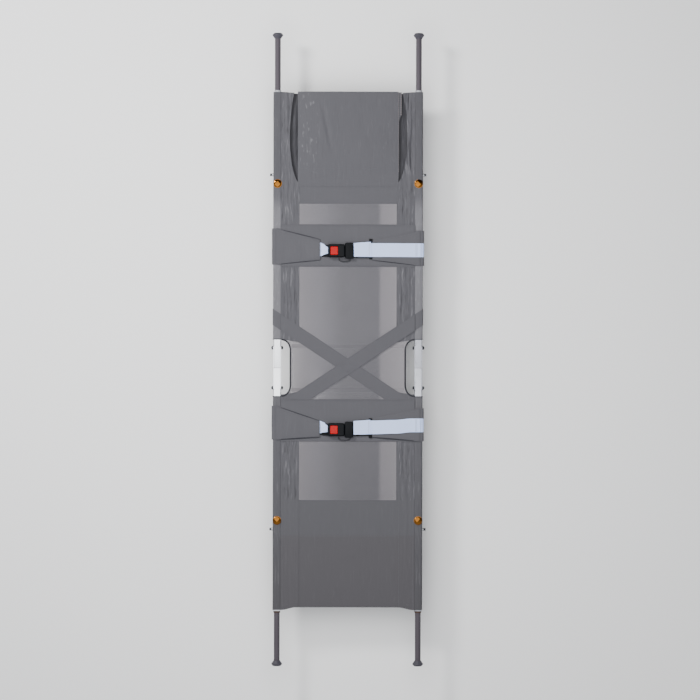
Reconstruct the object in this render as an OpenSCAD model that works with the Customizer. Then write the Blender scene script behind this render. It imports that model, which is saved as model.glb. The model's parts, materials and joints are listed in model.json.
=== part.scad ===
// Folding pole stretcher: four square poles joined by two double-pivot hinges, four sliding
// handles, two folding spreaders, four strip feet, a fabric bed in pole sleeves and two buckled belts.
// Millimetres. X across, Y towards the head, Z up. The origin is on the floor, under the middle.

/* [Overall] */
// Length over the extended handles
overall_length = 2280; // [2240:10:2320]
// Distance between the two pole axes
pole_spacing = 508; // [480:4:540]
// Height of the pole axes above the floor
pole_height = 124; // [112:1:125]
// Distance from the middle of the length to the fold line, towards the feet
fold_offset = 66; // [50:2:76]

/* [Poles] */
// Outside width of the square pole tube
pole_size = 28; // [27.5:0.5:29]
// Wall of the pole tube
pole_wall = 2; // [1.6:0.1:2.2]
// Outside corner radius of the pole tube
pole_corner = 4; // [3:0.5:5]
// Head pole, from the fold line to its open end
head_pole_length = 993; // [970:1:1010]
// Foot pole, from the fold line to its open end
foot_pole_length = 875; // [850:1:890]
// Solid end of each pole at the fold
pole_plug_length = 104; // [96:1:120]

/* [Fold hinge] */
// Distance between the two hinge pins
pivot_gap = 144; // [143:1:152]
// Diameter of a hinge pin
hinge_pin_d = 8; // [6:0.5:10]
// Thickness of the hinge channel
channel_t = 2.5; // [2:0.1:3]
// Height of the hinge channel's rounded ends
channel_end_h = 25; // [20:1:26]
// Space left by each pole end at the fold line
end_gap = 0.5; // [0.3:0.1:1]
// Reach of the hinge pin's head outside the pole
hinge_head = 8; // [6:0.5:10]

/* [Handles] */
// Outside diameter of the sliding handle
handle_d = 21; // [19:0.5:21]
// Wall of the handle tube
handle_wall = 1.6; // [1.2:0.1:2.5]
// Handle tube behind its lock pin
handle_tail = 23; // [15:1:40]
// Largest diameter of the end cap
cap_d = 39; // [34:1:44]
// Length of the end cap
cap_length = 20; // [17:1:26]
// Length of the guide bush in the pole's mouth
guide_length = 60; // [40:2:80]
// Collar of the guide bush outside the pole
collar_length = 6; // [3:0.5:9]
// Diameter of that collar
collar_d = 25; // [24:0.5:27]

/* [Handle locks] */
// Diameter of the lock pin
lock_pin_d = 5; // [4:0.5:6]
// Distance from the cover screw to the lock pin
lock_offset = 32; // [30:1:40]
// Reach of the lock pin's knob outside the pole
lock_reach = 13; // [11:0.5:16]
// Length of the barrel that guides the lock pin
barrel_length = 6; // [4:0.5:8]

/* [Spreaders and feet] */
// Fold line to the head spreader
head_fixing = 663; // [655:1:690]
// Fold line to the foot spreader
foot_fixing = 549; // [530:1:556]
// Spreader pivot, inwards from the pole axis
lug_reach = 34; // [33:0.5:38]
// Width of a spreader arm
arm_w = 22; // [18:1:24]
// Thickness of a spreader arm
arm_t = 7.8; // [6:0.2:9]
// Diameter of the spreader pins
spreader_pin_d = 8; // [6:0.5:9]
// Thickness of a bracket plate
bracket_t = 4; // [3:0.5:5]
// Length of a foot on the floor
foot_length = 90; // [80:2:94]
// Width of the foot strip
foot_w = 26; // [20:1:27]
// Thickness of the foot strip
strip_t = 4; // [3:0.5:5]
// Diameter of a cover screw's dome
dome_d = 28; // [22:1:29]

/* [Bed] */
// Thickness of the cover fabric
fabric_t = 1.2; // [1:0.1:1.4]
// Length of the handhold beside each hinge
handhold_length = 203; // [198:1:210]
// Handhold, inwards from the pole axis
handhold_reach = 47.5; // [44:0.5:60]
// Corner radius of the handhold
handhold_corner = 28; // [20:1:29]
// Width of a cross band under a belt
band_w = 152; // [146:1:160]
// Width of the pillow pocket
pocket_w = 356; // [300:2:380]
// Length of the pillow pocket
pocket_length = 335; // [280:5:345]
// Rise of the pillow pocket
pocket_rise = 14; // [8:1:24]
// Width of the crossed straps
cross_strap_w = 49; // [40:1:54]

/* [Belts] */
// Fold line to the chest band's middle
chest_band_at = 440; // [420:1:450]
// Fold line to the leg band's middle
leg_band_at = 188.5; // [186:0.5:200]
// Fold line to the chest belt's middle
chest_belt_at = 421; // [410:1:440]
// Fold line to the leg belt's middle
leg_belt_at = 222; // [212:1:226]
// Width of the belt webbing
webbing_w = 50; // [40:1:52]
// Thickness of the webbing
webbing_t = 1.6; // [1.2:0.1:2]
// Length of the buckle
buckle_length = 61; // [56:1:66]
// Width of the buckle
buckle_w = 47; // [42:1:52]
// Height of the buckle
buckle_h = 20; // [18:0.5:24]
// Length of the push button
button_length = 27; // [22:0.5:30]
// Width of the push button
button_w = 30; // [24:0.5:32]
// Length of the tongue's moulded cap
tongue_cap_length = 31; // [26:0.5:36]
// Width of the tongue's moulded cap
tongue_cap_w = 58; // [54:1:62]

/* [Hidden] */
$fn = 48;
HEAD = 1;
FOOT = -1;
LEFT = -1;
RIGHT = 1;
// Clearances: fitted faces, running bores, sliding faces, and cloth beside anything
fit = 0.05;
run = 0.1;
slide = 0.2;
cloth_gap = 0.1;
cut = 1;
pole_x = pole_spacing / 2;
fold_y = -fold_offset;
half_pole = pole_size / 2;
pole_bore = pole_size - 2 * pole_wall;
pivot_at = pivot_gap / 2;
// Sleeve round the pole, and what is wrapped over the sleeve
sleeve_in = pole_size + 2 * cloth_gap;
sleeve_out = sleeve_in + 2 * fabric_t;
wrap_in = sleeve_out + 2 * cloth_gap;
wrap_out = wrap_in + 2 * fabric_t;
sleeve_from = handhold_length / 2;
hem = 4;
// Heights above the pole axis
sheet_z = half_pole + cloth_gap;
band_z = sleeve_out / 2 + cloth_gap;
cover_z = band_z + fabric_t + cloth_gap;
webbing_z = cover_z + fabric_t + cloth_gap;
buckle_z = cover_z + slide;
bracket_z = -sleeve_out / 2 - cloth_gap;
arm_gap = slide;
arm_z = bracket_z - bracket_t - arm_gap;
arm_step = arm_t + arm_gap;
arm_length = pole_x - lug_reach;
pin_head_d = spreader_pin_d + 5;
pin_head_t = 3;
// Handles
head_tip = overall_length / 2 + fold_offset;
foot_tip = overall_length / 2 - fold_offset;
cap_wall = 3;
lock_tip = handle_d / 2 - handle_wall - 1;
barrel_d = lock_pin_d + 6;
knob_d = lock_pin_d + 5;
// Cover screw and foot bolts
ring_t = 1;
ring_d = dome_d + 3;
dome_h = 6;
screw_d = 6;
bolt_d = 6;
bolt_head_d = 11;
bolt_head_h = 4;
screw_reach = 0.7;
bolt_at = foot_length / 2 - 16;
bracket_half = foot_length / 2 + 5;
foot_corner = 14;
flange_end = bolt_at - 10;
// Bed
side_gap = sleeve_out / 2 + 3 * cloth_gap;
sheet_half = pole_x - side_gap;
zone_gap = 0.3;
strap_angle = 33.5;
strap_wrap = cross_strap_w / cos(strap_angle) / 2;
strap_at = pole_x * tan(strap_angle);
cover_outer_w = 127;
cover_inner_w = 82;
cover_tip = 101;
right_cover_tip = 85;
buckle_x = -72;
tongue_x = buckle_x + buckle_length;
blade_w = 26;
blade_t = 2.4;
blade_reach = 36;
blade_z = buckle_z + 7;
button_inset = 9;
button_depth = 9.5;
button_drop = 6.2;

head_ends = ["head", HEAD, head_pole_length, head_fixing, head_tip];
foot_ends = ["foot", FOOT, foot_pole_length, foot_fixing, foot_tip];

// ---- placing and shared outlines ----

// A pole's own frame: X outwards, Y from the fold line to the open end, Z up from its axis
module on_pole(end, side) {
    translate([side * pole_x, fold_y, pole_height])
        mirror([side == LEFT ? 1 : 0, 0, 0])
            mirror([0, end == FOOT ? 1 : 0, 0])
                children();
}

// The bed's own frame: X across, Y from the fold line to the open ends, Z up from the pole axes
module on_bed(end) {
    translate([0, fold_y, pole_height])
        mirror([0, end == FOOT ? 1 : 0, 0])
            children();
}

module along_y(from, to) {
    translate([0, to, 0])
        rotate([90, 0, 0])
            linear_extrude(to - from)
                children();
}

module along_x(from, to) {
    translate([from, 0, 0])
        rotate([90, 0, 90])
            linear_extrude(to - from)
                children();
}

module rounded_square(w, r) {
    rounded_rect(w, w, r);
}

module rounded_rect(w, h, r) {
    square([w, h - 2 * r], center = true);
    square([w - 2 * r, h], center = true);
    for (sx = [-1, 1], sy = [-1, 1])
        translate([sx * (w / 2 - r), sy * (h / 2 - r)])
            circle(r);
}

module rod_x(from, to, d) {
    translate([from, 0, 0])
        rotate([0, 90, 0])
            cylinder(h = to - from, d = d);
}

module rod_z(from, to, d) {
    translate([0, 0, from])
        cylinder(h = to - from, d = d);
}

// ---- poles, guides and handles ----

module pole(length, fixing) {
    flat_end = pivot_at + channel_end_h / 2 + cut;
    flat_half = half_pole - channel_t - slide;
    relief = 14;
    color("silver")
        difference() {
            along_y(end_gap, length)
                rounded_square(pole_size, pole_corner);
            along_y(pole_plug_length, length + cut)
                rounded_square(pole_bore, pole_corner - pole_wall);
            // Flats beside which the channel's walls turn
            for (side = [-1, 1])
                translate([side * (flat_half + half_pole) - half_pole, end_gap - cut, -half_pole - cut])
                    cube([pole_size, flat_end - end_gap + cut, pole_size + 2 * cut]);
            // The lower corner is rounded about the pin, so that it passes the fold line
            difference() {
                translate([-pole_size, end_gap - cut, -half_pole - cut])
                    cube([2 * pole_size, relief, half_pole + cut]);
                translate([0, pivot_at, 0])
                    rod_x(-pole_size - cut, pole_size + cut, pivot_gap - slide);
            }
            translate([0, pivot_at, 0])
                rod_x(-pole_size, pole_size, hinge_pin_d + run);
            translate([0, fixing, 0])
                rod_z(0, pole_size, screw_d + run);
            for (at = [-bolt_at, bolt_at])
                translate([0, fixing + at, 0])
                    rod_z(-pole_size, 0, bolt_d + run);
            translate([0, fixing + lock_offset, 0])
                rod_x(0, pole_size, lock_pin_d + run);
        }
}

module guide(length) {
    color("dimgray")
        difference() {
            union() {
                along_y(length - guide_length, length)
                    rounded_square(pole_bore - 2 * fit, pole_corner - pole_wall);
                translate([0, length, 0])
                    rotate([-90, 0, 0])
                        cylinder(h = collar_length, d = collar_d);
            }
            translate([0, length - guide_length - cut, 0])
                rotate([-90, 0, 0])
                    cylinder(h = guide_length + collar_length + 2 * cut, d = handle_d + run);
        }
}

// Tube with a slot in which the lock pin runs, and a flared end cap pushed over its end
module handle(length, fixing, tip) {
    pin_at = fixing + lock_offset;
    travel = tip - cap_length - length - collar_length;
    slot_w = lock_pin_d + slide;
    color("gray") {
        difference() {
            translate([0, pin_at - handle_tail, 0])
                rotate([-90, 0, 0])
                    cylinder(h = tip - cap_wall - pin_at + handle_tail, d = handle_d);
            translate([0, pin_at - handle_tail - cut, 0])
                rotate([-90, 0, 0])
                    cylinder(h = tip - pin_at + handle_tail, d = handle_d - 2 * handle_wall);
            for (y = [pin_at, pin_at + travel])
                translate([0, y, 0])
                    rod_x(0, handle_d, slot_w);
            translate([0, pin_at, -slot_w / 2])
                cube([handle_d, travel, slot_w]);
        }
    }
    color("darkslategray")
        translate([0, tip - cap_length, 0])
            rotate([-90, 0, 0])
                handle_cap();
}

module handle_cap() {
    tube_r = handle_d / 2;
    rim = 2.5;
    rim_at = cap_length * 0.6;
    rotate_extrude($fn = 64)
        difference() {
            union() {
                polygon([
                    [0, 0], [tube_r + 2, 0], [tube_r + 3, rim],
                    [cap_d / 2 - 0.5, rim_at - rim * 0.7], [cap_d / 2 - 0.5, rim_at + rim * 0.7],
                    [cap_d / 2 - 5, cap_length - 1], [cap_d / 2 - 7, cap_length], [0, cap_length]
                ]);
                translate([cap_d / 2 - rim, rim_at])
                    circle(rim, $fn = 32);
            }
            translate([0, -cut])
                square([tube_r + fit, cap_length - cap_wall + cut + fit]);
        }
}

// Pin with a waisted pull knob
module lock_pin(fixing) {
    knob_from = half_pole + barrel_length + slide;
    knob_to = half_pole + lock_reach;
    waist = 1.4;
    color("lightgray")
        translate([0, fixing + lock_offset, 0])
            rotate([0, 90, 0])
                rotate_extrude()
                    difference() {
                        union() {
                            translate([0, lock_tip])
                                square([lock_pin_d / 2, knob_to - lock_tip]);
                            translate([0, knob_from])
                                square([knob_d / 2, knob_to - knob_from]);
                        }
                        translate([knob_d / 2 + waist / 2, (knob_from + knob_to) / 2])
                            circle(waist + 0.4, $fn = 24);
                    }
}

// ---- fold hinge ----

// Channel, open on top, that carries both pole ends on its floor when the bed is flat
module hinge_channel() {
    floor_half = pivot_at - half_pole - 2;
    floor_top = -half_pole - slide;
    skirt = half_pole + slide + channel_t;
    color("silver")
        difference() {
            union() {
                for (x = [-half_pole, half_pole - channel_t])
                    along_x(x, x + channel_t) {
                        square([pivot_gap, channel_end_h], center = true);
                        for (y = [-pivot_at, pivot_at])
                            translate([y, 0])
                                circle(d = channel_end_h);
                        translate([-floor_half, -skirt])
                            square([2 * floor_half, skirt]);
                    }
                translate([-half_pole, -floor_half, floor_top - channel_t])
                    cube([pole_size, 2 * floor_half, channel_t]);
            }
            for (y = [-pivot_at, pivot_at])
                translate([0, y, 0])
                    rod_x(-pole_size, pole_size, hinge_pin_d + run);
        }
}

// Two pins, each with a domed head outside and a nut inside
module hinge_pins() {
    nut_t = 6;
    nut_d = hinge_pin_d + 5;
    color("dimgray")
        for (y = [-pivot_at, pivot_at])
            translate([0, y, 0]) {
                rod_x(-half_pole - nut_t - 1, half_pole + 1, hinge_pin_d);
                rotate([0, 90, 0])
                    translate([0, 0, half_pole])
                        domed_head(nut_d, hinge_head);
                difference() {
                    translate([-half_pole - nut_t, 0, 0])
                        rotate([0, 90, 0])
                            cylinder(h = nut_t, d = nut_d, $fn = 6);
                    rod_x(-half_pole - nut_t - cut, -half_pole + cut, hinge_pin_d + run);
                }
            }
}

// Head of revolution with a rounded top, standing on its flat face
module domed_head(d, h) {
    crown = (d * d / 4 + h * h / 4) / h;
    intersection() {
        cylinder(h = h, d = d);
        translate([0, 0, h - crown])
            sphere(crown, $fn = 64);
    }
}

// ---- brackets, feet, fasteners and spreader arms ----

// Plate under the pole with a lug for the spreader; the right one has a spacer for the lower arm
module bracket(fixing, spacer) {
    lug_r = arm_w / 2 + 1;
    gusset = lug_r + 14;
    color("darkgray")
        translate([0, fixing, bracket_z - bracket_t])
            difference() {
                union() {
                    linear_extrude(bracket_t) {
                        rounded_rect(foot_w, 2 * bracket_half, 5);
                        translate([-lug_reach, 0])
                            circle(lug_r);
                        polygon([
                            [-lug_reach, -lug_r], [-foot_w / 2 - 1, -gusset], [0, -gusset],
                            [0, gusset], [-foot_w / 2 - 1, gusset], [-lug_reach, lug_r]
                        ]);
                    }
                    if (spacer)
                        translate([-lug_reach, 0, -arm_step])
                            cylinder(h = arm_step + cut, d = arm_w - 2);
                }
                translate([-lug_reach, 0, 0])
                    rod_z(-arm_step - cut, bracket_t + cut, spreader_pin_d + run);
                for (at = [-bolt_at, bolt_at])
                    translate([0, at, 0])
                        rod_z(-cut, bracket_t + cut, bolt_d + run);
            }
}

// Flat strip bent to a stirrup, with two flanges under the bracket
module foot_strip(fixing) {
    top = bracket_z - bracket_t;
    height = pole_height + top;
    inner_corner = foot_corner - strip_t;
    color("darkgray")
        difference() {
            translate([0, fixing, 0])
                along_x(-foot_w / 2, foot_w / 2)
                    difference() {
                        strip_outline(foot_length, -pole_height, top, foot_corner);
                        strip_outline(
                            foot_length - 2 * strip_t, strip_t - pole_height, top - strip_t, inner_corner);
                        translate([-flange_end, top - 2 * strip_t])
                            square([2 * flange_end, 3 * strip_t]);
                    }
            for (at = [-bolt_at, bolt_at])
                translate([0, fixing + at, 0])
                    rod_z(top - 2 * strip_t, top + cut, bolt_d + run);
        }
}

// Outline with rounded lower corners, from one height to another
module strip_outline(w, from, to, r) {
    translate([-w / 2, from + r])
        square([w, to - from - r]);
    translate([r - w / 2, from])
        square([w - 2 * r, r + cut]);
    for (y = [r - w / 2, w / 2 - r])
        translate([y, from + r])
            circle(r);
}

// Dome and ring over the sleeve, foot bolts, spreader pin and the lock pin's barrel
module fasteners(fixing, lower) {
    dome_z = sleeve_out / 2 + cloth_gap;
    bolt_z = bracket_z - bracket_t - strip_t;
    pin_to = arm_z - (lower ? 2 : 1) * arm_step;
    color("goldenrod")
        translate([0, fixing, 0]) {
            rod_z(half_pole - pole_wall - screw_reach, dome_z + ring_t, screw_d);
            translate([0, 0, dome_z + ring_t])
                domed_head(dome_d, dome_h);
        }
    color("lightgray")
        translate([0, fixing, dome_z])
            difference() {
                cylinder(h = ring_t, d = ring_d);
                rod_z(-cut, ring_t + cut, screw_d + run);
            }
    color("gray")
        for (at = [-bolt_at, bolt_at])
            translate([0, fixing + at, 0]) {
                rod_z(bolt_z, -half_pole + pole_wall + screw_reach, bolt_d);
                translate([0, 0, bolt_z - bolt_head_h])
                    cylinder(h = bolt_head_h, d = bolt_head_d, $fn = 6);
            }
    color("gray")
        translate([-lug_reach, fixing, 0]) {
            rod_z(pin_to - pin_head_t, bracket_z + pin_head_t, spreader_pin_d);
            ring_z(bracket_z + fit, bracket_z + pin_head_t, pin_head_d, spreader_pin_d);
            ring_z(pin_to - pin_head_t, pin_to, pin_head_d, spreader_pin_d);
        }
    color("lightgray")
        translate([0, fixing + lock_offset, 0])
            rotate([0, 90, 0])
                ring_z(half_pole, half_pole + barrel_length, barrel_d, lock_pin_d + run);
}

module ring_z(from, to, d, bore) {
    translate([0, 0, from])
        difference() {
            cylinder(h = to - from, d = d);
            translate([0, 0, -cut])
                cylinder(h = to - from + 2 * cut, d = bore);
        }
}

// Arm from the lug to the middle; the upper one carries the middle pin
module arm(end, side) {
    level = side == LEFT ? arm_z - arm_t : arm_z - arm_step - arm_t;
    fixing = end == HEAD ? head_fixing : foot_fixing;
    dent = 3;
    groove = 2;
    color("darkgray")
        on_bed(end)
            translate([0, fixing, level])
                mirror([side == RIGHT ? 1 : 0, 0, 0])
                    difference() {
                        linear_extrude(arm_t) {
                            translate([-arm_length / 2, 0])
                                square([arm_length, arm_w], center = true);
                            for (x = [-arm_length, 0])
                                translate([x, 0])
                                    circle(arm_w / 2);
                        }
                        for (x = [-arm_length, 0])
                            translate([x, 0, 0])
                                rod_z(-cut, arm_t + cut, spreader_pin_d + run);
                        // Pressed groove along the bar
                        translate([-arm_length + arm_w, -dent, arm_t - groove])
                            cube([arm_length - 2 * arm_w, 2 * dent, groove + cut]);
                        translate([-arm_length + arm_w, -dent, -cut])
                            cube([arm_length - 2 * arm_w, 2 * dent, groove + cut]);
                    }
    if (side == LEFT)
        color("gray")
            on_bed(end)
                translate([0, fixing, 0]) {
                    rod_z(level - arm_step - pin_head_t, level + arm_t + pin_head_t, spreader_pin_d);
                    ring_z(level + arm_t + fit, level + arm_t + pin_head_t, pin_head_d, spreader_pin_d);
                    ring_z(level - arm_step - arm_gap - pin_head_t, level - arm_step - arm_gap,
                        pin_head_d, spreader_pin_d);
                }
}

// ---- cloth ----

// Closed sleeve round a pole, and the bands and straps that are wrapped over it
module sleeve(end, length, fixing) {
    band_at = end == HEAD ? chest_band_at : leg_band_at;
    color("slategray") {
        difference() {
            along_y(sleeve_from, length - hem)
                tube_outline(sleeve_out, sleeve_in);
            translate([0, fixing, 0])
                rod_z(0, pole_size, screw_d + 1);
            for (at = [-bolt_at, bolt_at])
                translate([0, fixing + at, 0])
                    rod_z(-pole_size, 0, bolt_d + 1);
            translate([0, fixing + lock_offset, 0])
                rod_x(0, pole_size, barrel_d + 1);
        }
        along_y(band_at - band_w / 2, band_at + band_w / 2)
            tube_outline(wrap_out, wrap_in);
        if (end == HEAD)
            along_y(strap_at - strap_wrap, strap_at + strap_wrap)
                tube_outline(wrap_out, wrap_in);
    }
}

module tube_outline(outer, inner) {
    corner = pole_corner + (outer - pole_size) / 2;
    difference() {
        rounded_square(outer, corner);
        rounded_square(inner, corner - (outer - inner) / 2);
    }
}

// Bed outline between the sleeves, with the two handholds cut out beside the hinges
module bed_outline(length) {
    edge = pole_x - handhold_reach;
    reach = handhold_reach + handhold_corner;
    difference() {
        translate([-sheet_half, -length])
            square([2 * sheet_half, 2 * length]);
        for (side = [-1, 1])
            translate([side * (edge + reach / 2 + handhold_corner / 2), 0])
                rounded_rect(reach + handhold_corner, handhold_length, handhold_corner);
    }
}

module bed_end(end, length) {
    color("slategray")
        on_bed(end)
            translate([0, 0, sheet_z])
                linear_extrude(fabric_t)
                    intersection() {
                        bed_outline(length - hem);
                        translate([-pole_spacing, pivot_at + zone_gap])
                            square([2 * pole_spacing, length]);
                    }
}

module bed_middle() {
    color("slategray")
        on_bed(HEAD)
            translate([0, 0, sheet_z])
                linear_extrude(fabric_t)
                    intersection() {
                        bed_outline(pivot_gap);
                        square([2 * pole_spacing, pivot_gap - 2 * zone_gap], center = true);
                    }
}

// Flat-lying pocket whose top rises to a soft crown
module pillow_pocket() {
    across = 18;
    down = 16;
    edge_t = 2;
    from = head_pole_length - hem - 6 - pocket_length;
    function crown(u) = 1 - pow(abs(2 * u - 1), 3);
    function top(i, j) = edge_t + pocket_rise * crown(i / across) * crown(j / down);
    grid = [for (j = [0 : down]) for (i = [0 : across])
        [pocket_w * (i / across - 0.5), from + pocket_length * j / down, top(i, j)]];
    flat = [for (p = grid) [p[0], p[1], 0]];
    row = across + 1;
    count = len(grid);
    top_faces = [for (j = [0 : down - 1]) for (i = [0 : across - 1]) let (a = j * row + i)
        each [[a, a + row, a + 1], [a + 1, a + row, a + row + 1]]];
    under_faces = [for (f = top_faces) [f[2] + count, f[1] + count, f[0] + count]];
    rim = concat(
        [for (i = [0 : across]) i], [for (j = [1 : down]) j * row + across],
        [for (i = [across - 1 : -1 : 0]) down * row + i], [for (j = [down - 1 : -1 : 1]) j * row]);
    rim_faces = [for (k = [0 : len(rim) - 1]) let (a = rim[k], b = rim[(k + 1) % len(rim)])
        each [[a, b, b + count], [a, b + count, a + count]]];
    color("dimgray")
        on_bed(HEAD)
            translate([0, 0, band_z])
                polyhedron(concat(grid, flat), concat(top_faces, under_faces, rim_faces));
}

module cross_band(end, at) {
    color("slategray")
        on_bed(end)
            translate([-sheet_half, at - band_w / 2, band_z])
                cube([2 * sheet_half, band_w, fabric_t]);
}

// The two crossed straps between the sleeves, one over the other, cut to a stretch of the bed
module cross_straps(from, to) {
    color("gray")
        on_bed(HEAD)
            for (turn = [-1, 1])
                translate([0, 0, band_z + (turn + 1) / 2 * (webbing_t + cloth_gap)])
                    linear_extrude(webbing_t)
                        intersection() {
                            rotate(turn * strap_angle)
                                square([2 * pole_spacing, cross_strap_w], center = true);
                            translate([-sheet_half, from])
                                square([2 * sheet_half, to - from]);
                        }
}

// ---- belts ----

module belt_covers(end, at) {
    color("slategray")
        on_bed(end)
            translate([0, at, cover_z])
                linear_extrude(fabric_t)
                    for (tip = [[-1, cover_tip], [1, right_cover_tip]])
                        polygon([
                            [tip[0] * tip[1], -cover_inner_w / 2], [tip[0] * tip[1], cover_inner_w / 2],
                            [tip[0] * sheet_half, cover_outer_w / 2], [tip[0] * sheet_half, -cover_outer_w / 2]
                        ]);
}

module belt_webbing(end, at) {
    color("lightsteelblue")
        on_bed(end)
            translate([0, at, webbing_z]) {
                translate([-cover_tip - webbing_w, -webbing_w / 2, 0])
                    cube([cover_tip + webbing_w + buckle_x - slide, webbing_w, webbing_t]);
                translate([tongue_x + tongue_cap_length + slide, -webbing_w / 2, 0])
                    cube([sheet_half - tongue_x - tongue_cap_length - slide, webbing_w, webbing_t]);
            }
}

// Moulded housing with a rounded top, a well for the button and a slot for the tongue
module buckle(end, at) {
    round_r = 7;
    top_r = 5;
    slot_gap = 0.4;
    color("black")
        on_bed(end)
            translate([buckle_x + buckle_length / 2, at, buckle_z])
                difference() {
                    intersection() {
                        linear_extrude(buckle_h)
                            rounded_rect(buckle_length, buckle_w, round_r);
                        along_y(-buckle_w, buckle_w)
                            crowned_outline(buckle_length, buckle_h, top_r);
                        along_x(-buckle_length, buckle_length)
                            crowned_outline(buckle_w, buckle_h, top_r);
                    }
                    translate([button_inset - buckle_length / 2, -button_w / 2 - slide, buckle_h - button_depth])
                        cube([button_length + 2 * slide, button_w + 2 * slide, button_depth + cut]);
                    translate([
                        buckle_length / 2 - blade_reach - slot_gap, -blade_w / 2 - slot_gap,
                        blade_z - buckle_z - slot_gap])
                        cube([blade_reach + cut + slot_gap, blade_w + 2 * slot_gap, blade_t + 2 * slot_gap]);
                }
}

// Outline standing on its base, with rounded upper corners
module crowned_outline(w, h, r) {
    translate([-w / 2, 0])
        square([w, h - r]);
    translate([r - w / 2, 0])
        square([w - 2 * r, h]);
    for (x = [r - w / 2, w / 2 - r])
        translate([x, h - r])
            circle(r);
}

module button(end, at) {
    height = button_drop + 1;
    color("red")
        on_bed(end)
            translate([
                buckle_x + button_inset + slide + button_length / 2, at, buckle_z + buckle_h - button_drop])
                intersection() {
                    linear_extrude(height)
                        rounded_rect(button_length, button_w, 3);
                    along_y(-button_w, button_w)
                        crowned_outline(button_length, height, 2);
                    along_x(-button_length, button_length)
                        crowned_outline(button_w, height, 2);
                }
}

// Steel blade with a latch window, and the moulded cap that holds it
module tongue(end, at) {
    cap_h = 11;
    cap_z = blade_z + blade_t / 2 - cap_h / 2;
    window = 12;
    color("dimgray")
        on_bed(end)
            translate([tongue_x, at, 0]) {
                difference() {
                    translate([-blade_reach, -blade_w / 2, blade_z])
                        cube([blade_reach + 8, blade_w, blade_t]);
                    translate([-blade_reach + 8, -window / 2, blade_z - cut])
                        cube([window, window, blade_t + 2 * cut]);
                }
                difference() {
                    translate([slide + tongue_cap_length / 2, 0, cap_z])
                        intersection() {
                            linear_extrude(cap_h)
                                rounded_rect(tongue_cap_length - slide, tongue_cap_w, 6);
                            along_y(-tongue_cap_w, tongue_cap_w)
                                crowned_outline(tongue_cap_length - slide, cap_h, 3);
                        }
                    translate([-cut, -blade_w / 2, blade_z])
                        cube([8 + cut, blade_w, blade_t]);
                }
            }
}

// ---- the nodes ----

module corner(kind, end, side) {
    ends = end == HEAD ? head_ends : foot_ends;
    length = ends[2];
    fixing = ends[3];
    tip = ends[4];
    on_pole(end, side) {
        if (kind == "pole") pole(length, fixing);
        if (kind == "guide") guide(length);
        if (kind == "handle") handle(length, fixing, tip);
        if (kind == "lock_pin") lock_pin(fixing);
        if (kind == "bracket") bracket(fixing, side == RIGHT);
        if (kind == "foot_strip") foot_strip(fixing);
        if (kind == "fasteners") fasteners(fixing, side == RIGHT);
        if (kind == "sleeve") sleeve(end, length, fixing);
    }
}

for (kind = ["pole", "guide", "handle", "lock_pin", "bracket", "foot_strip", "fasteners", "sleeve"])
    for (end = [["head", HEAD], ["foot", FOOT]])
        for (side = [["left", LEFT], ["right", RIGHT]])
            corner(kind, end[1], side[1]);

for (end = [["head", HEAD], ["foot", FOOT]])
    for (side = [["left", LEFT], ["right", RIGHT]])
        arm(end[1], side[1]);

for (side = [["left", LEFT], ["right", RIGHT]]) {
    on_pole(HEAD, side[1]) hinge_channel();
    on_pole(HEAD, side[1]) hinge_pins();
}

bed_end(HEAD, head_pole_length);  // bed_head
bed_middle();
bed_end(FOOT, foot_pole_length);  // bed_foot
pillow_pocket();
cross_band(HEAD, chest_band_at);  // band_chest
cross_band(FOOT, leg_band_at);  // band_leg
cross_straps(pivot_at + zone_gap, strap_at * 2);  // cross_straps_head
cross_straps(zone_gap - pivot_at, pivot_at - zone_gap);  // cross_straps_middle
cross_straps(band_w / 2 + cloth_gap - leg_band_at, -pivot_at - zone_gap);  // cross_straps_foot

for (belt = [["chest", HEAD, chest_belt_at], ["leg", FOOT, leg_belt_at]]) {
    belt_covers(belt[1], belt[2]);
    belt_webbing(belt[1], belt[2]);
    buckle(belt[1], belt[2]);
    button(belt[1], belt[2]);
    tongue(belt[1], belt[2]);
}
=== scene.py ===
"""Folding pole stretcher seen from above: hinged poles, sliding handles, cloth bed, two buckled belts."""
import json
import math

import bmesh
import bpy
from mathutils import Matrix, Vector, noise


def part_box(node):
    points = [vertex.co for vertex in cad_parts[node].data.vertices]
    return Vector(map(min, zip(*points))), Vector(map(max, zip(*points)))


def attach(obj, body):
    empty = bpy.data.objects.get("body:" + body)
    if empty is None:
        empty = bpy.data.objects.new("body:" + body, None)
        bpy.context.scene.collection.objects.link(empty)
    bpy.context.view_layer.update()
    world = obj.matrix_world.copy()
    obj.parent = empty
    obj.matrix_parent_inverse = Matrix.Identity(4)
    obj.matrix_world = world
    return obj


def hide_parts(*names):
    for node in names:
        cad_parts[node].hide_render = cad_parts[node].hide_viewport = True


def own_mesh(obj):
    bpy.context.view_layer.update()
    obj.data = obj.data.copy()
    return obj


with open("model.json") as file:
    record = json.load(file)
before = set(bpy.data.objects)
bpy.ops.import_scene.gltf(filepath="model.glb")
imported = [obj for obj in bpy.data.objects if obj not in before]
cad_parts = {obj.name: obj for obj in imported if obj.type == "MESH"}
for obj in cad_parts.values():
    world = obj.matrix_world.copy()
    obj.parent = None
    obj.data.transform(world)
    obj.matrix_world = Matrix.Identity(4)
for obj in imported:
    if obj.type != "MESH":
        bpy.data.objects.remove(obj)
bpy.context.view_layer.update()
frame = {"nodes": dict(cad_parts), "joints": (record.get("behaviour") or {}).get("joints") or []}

# ---- sizes, in metres, from the frame ----

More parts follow.
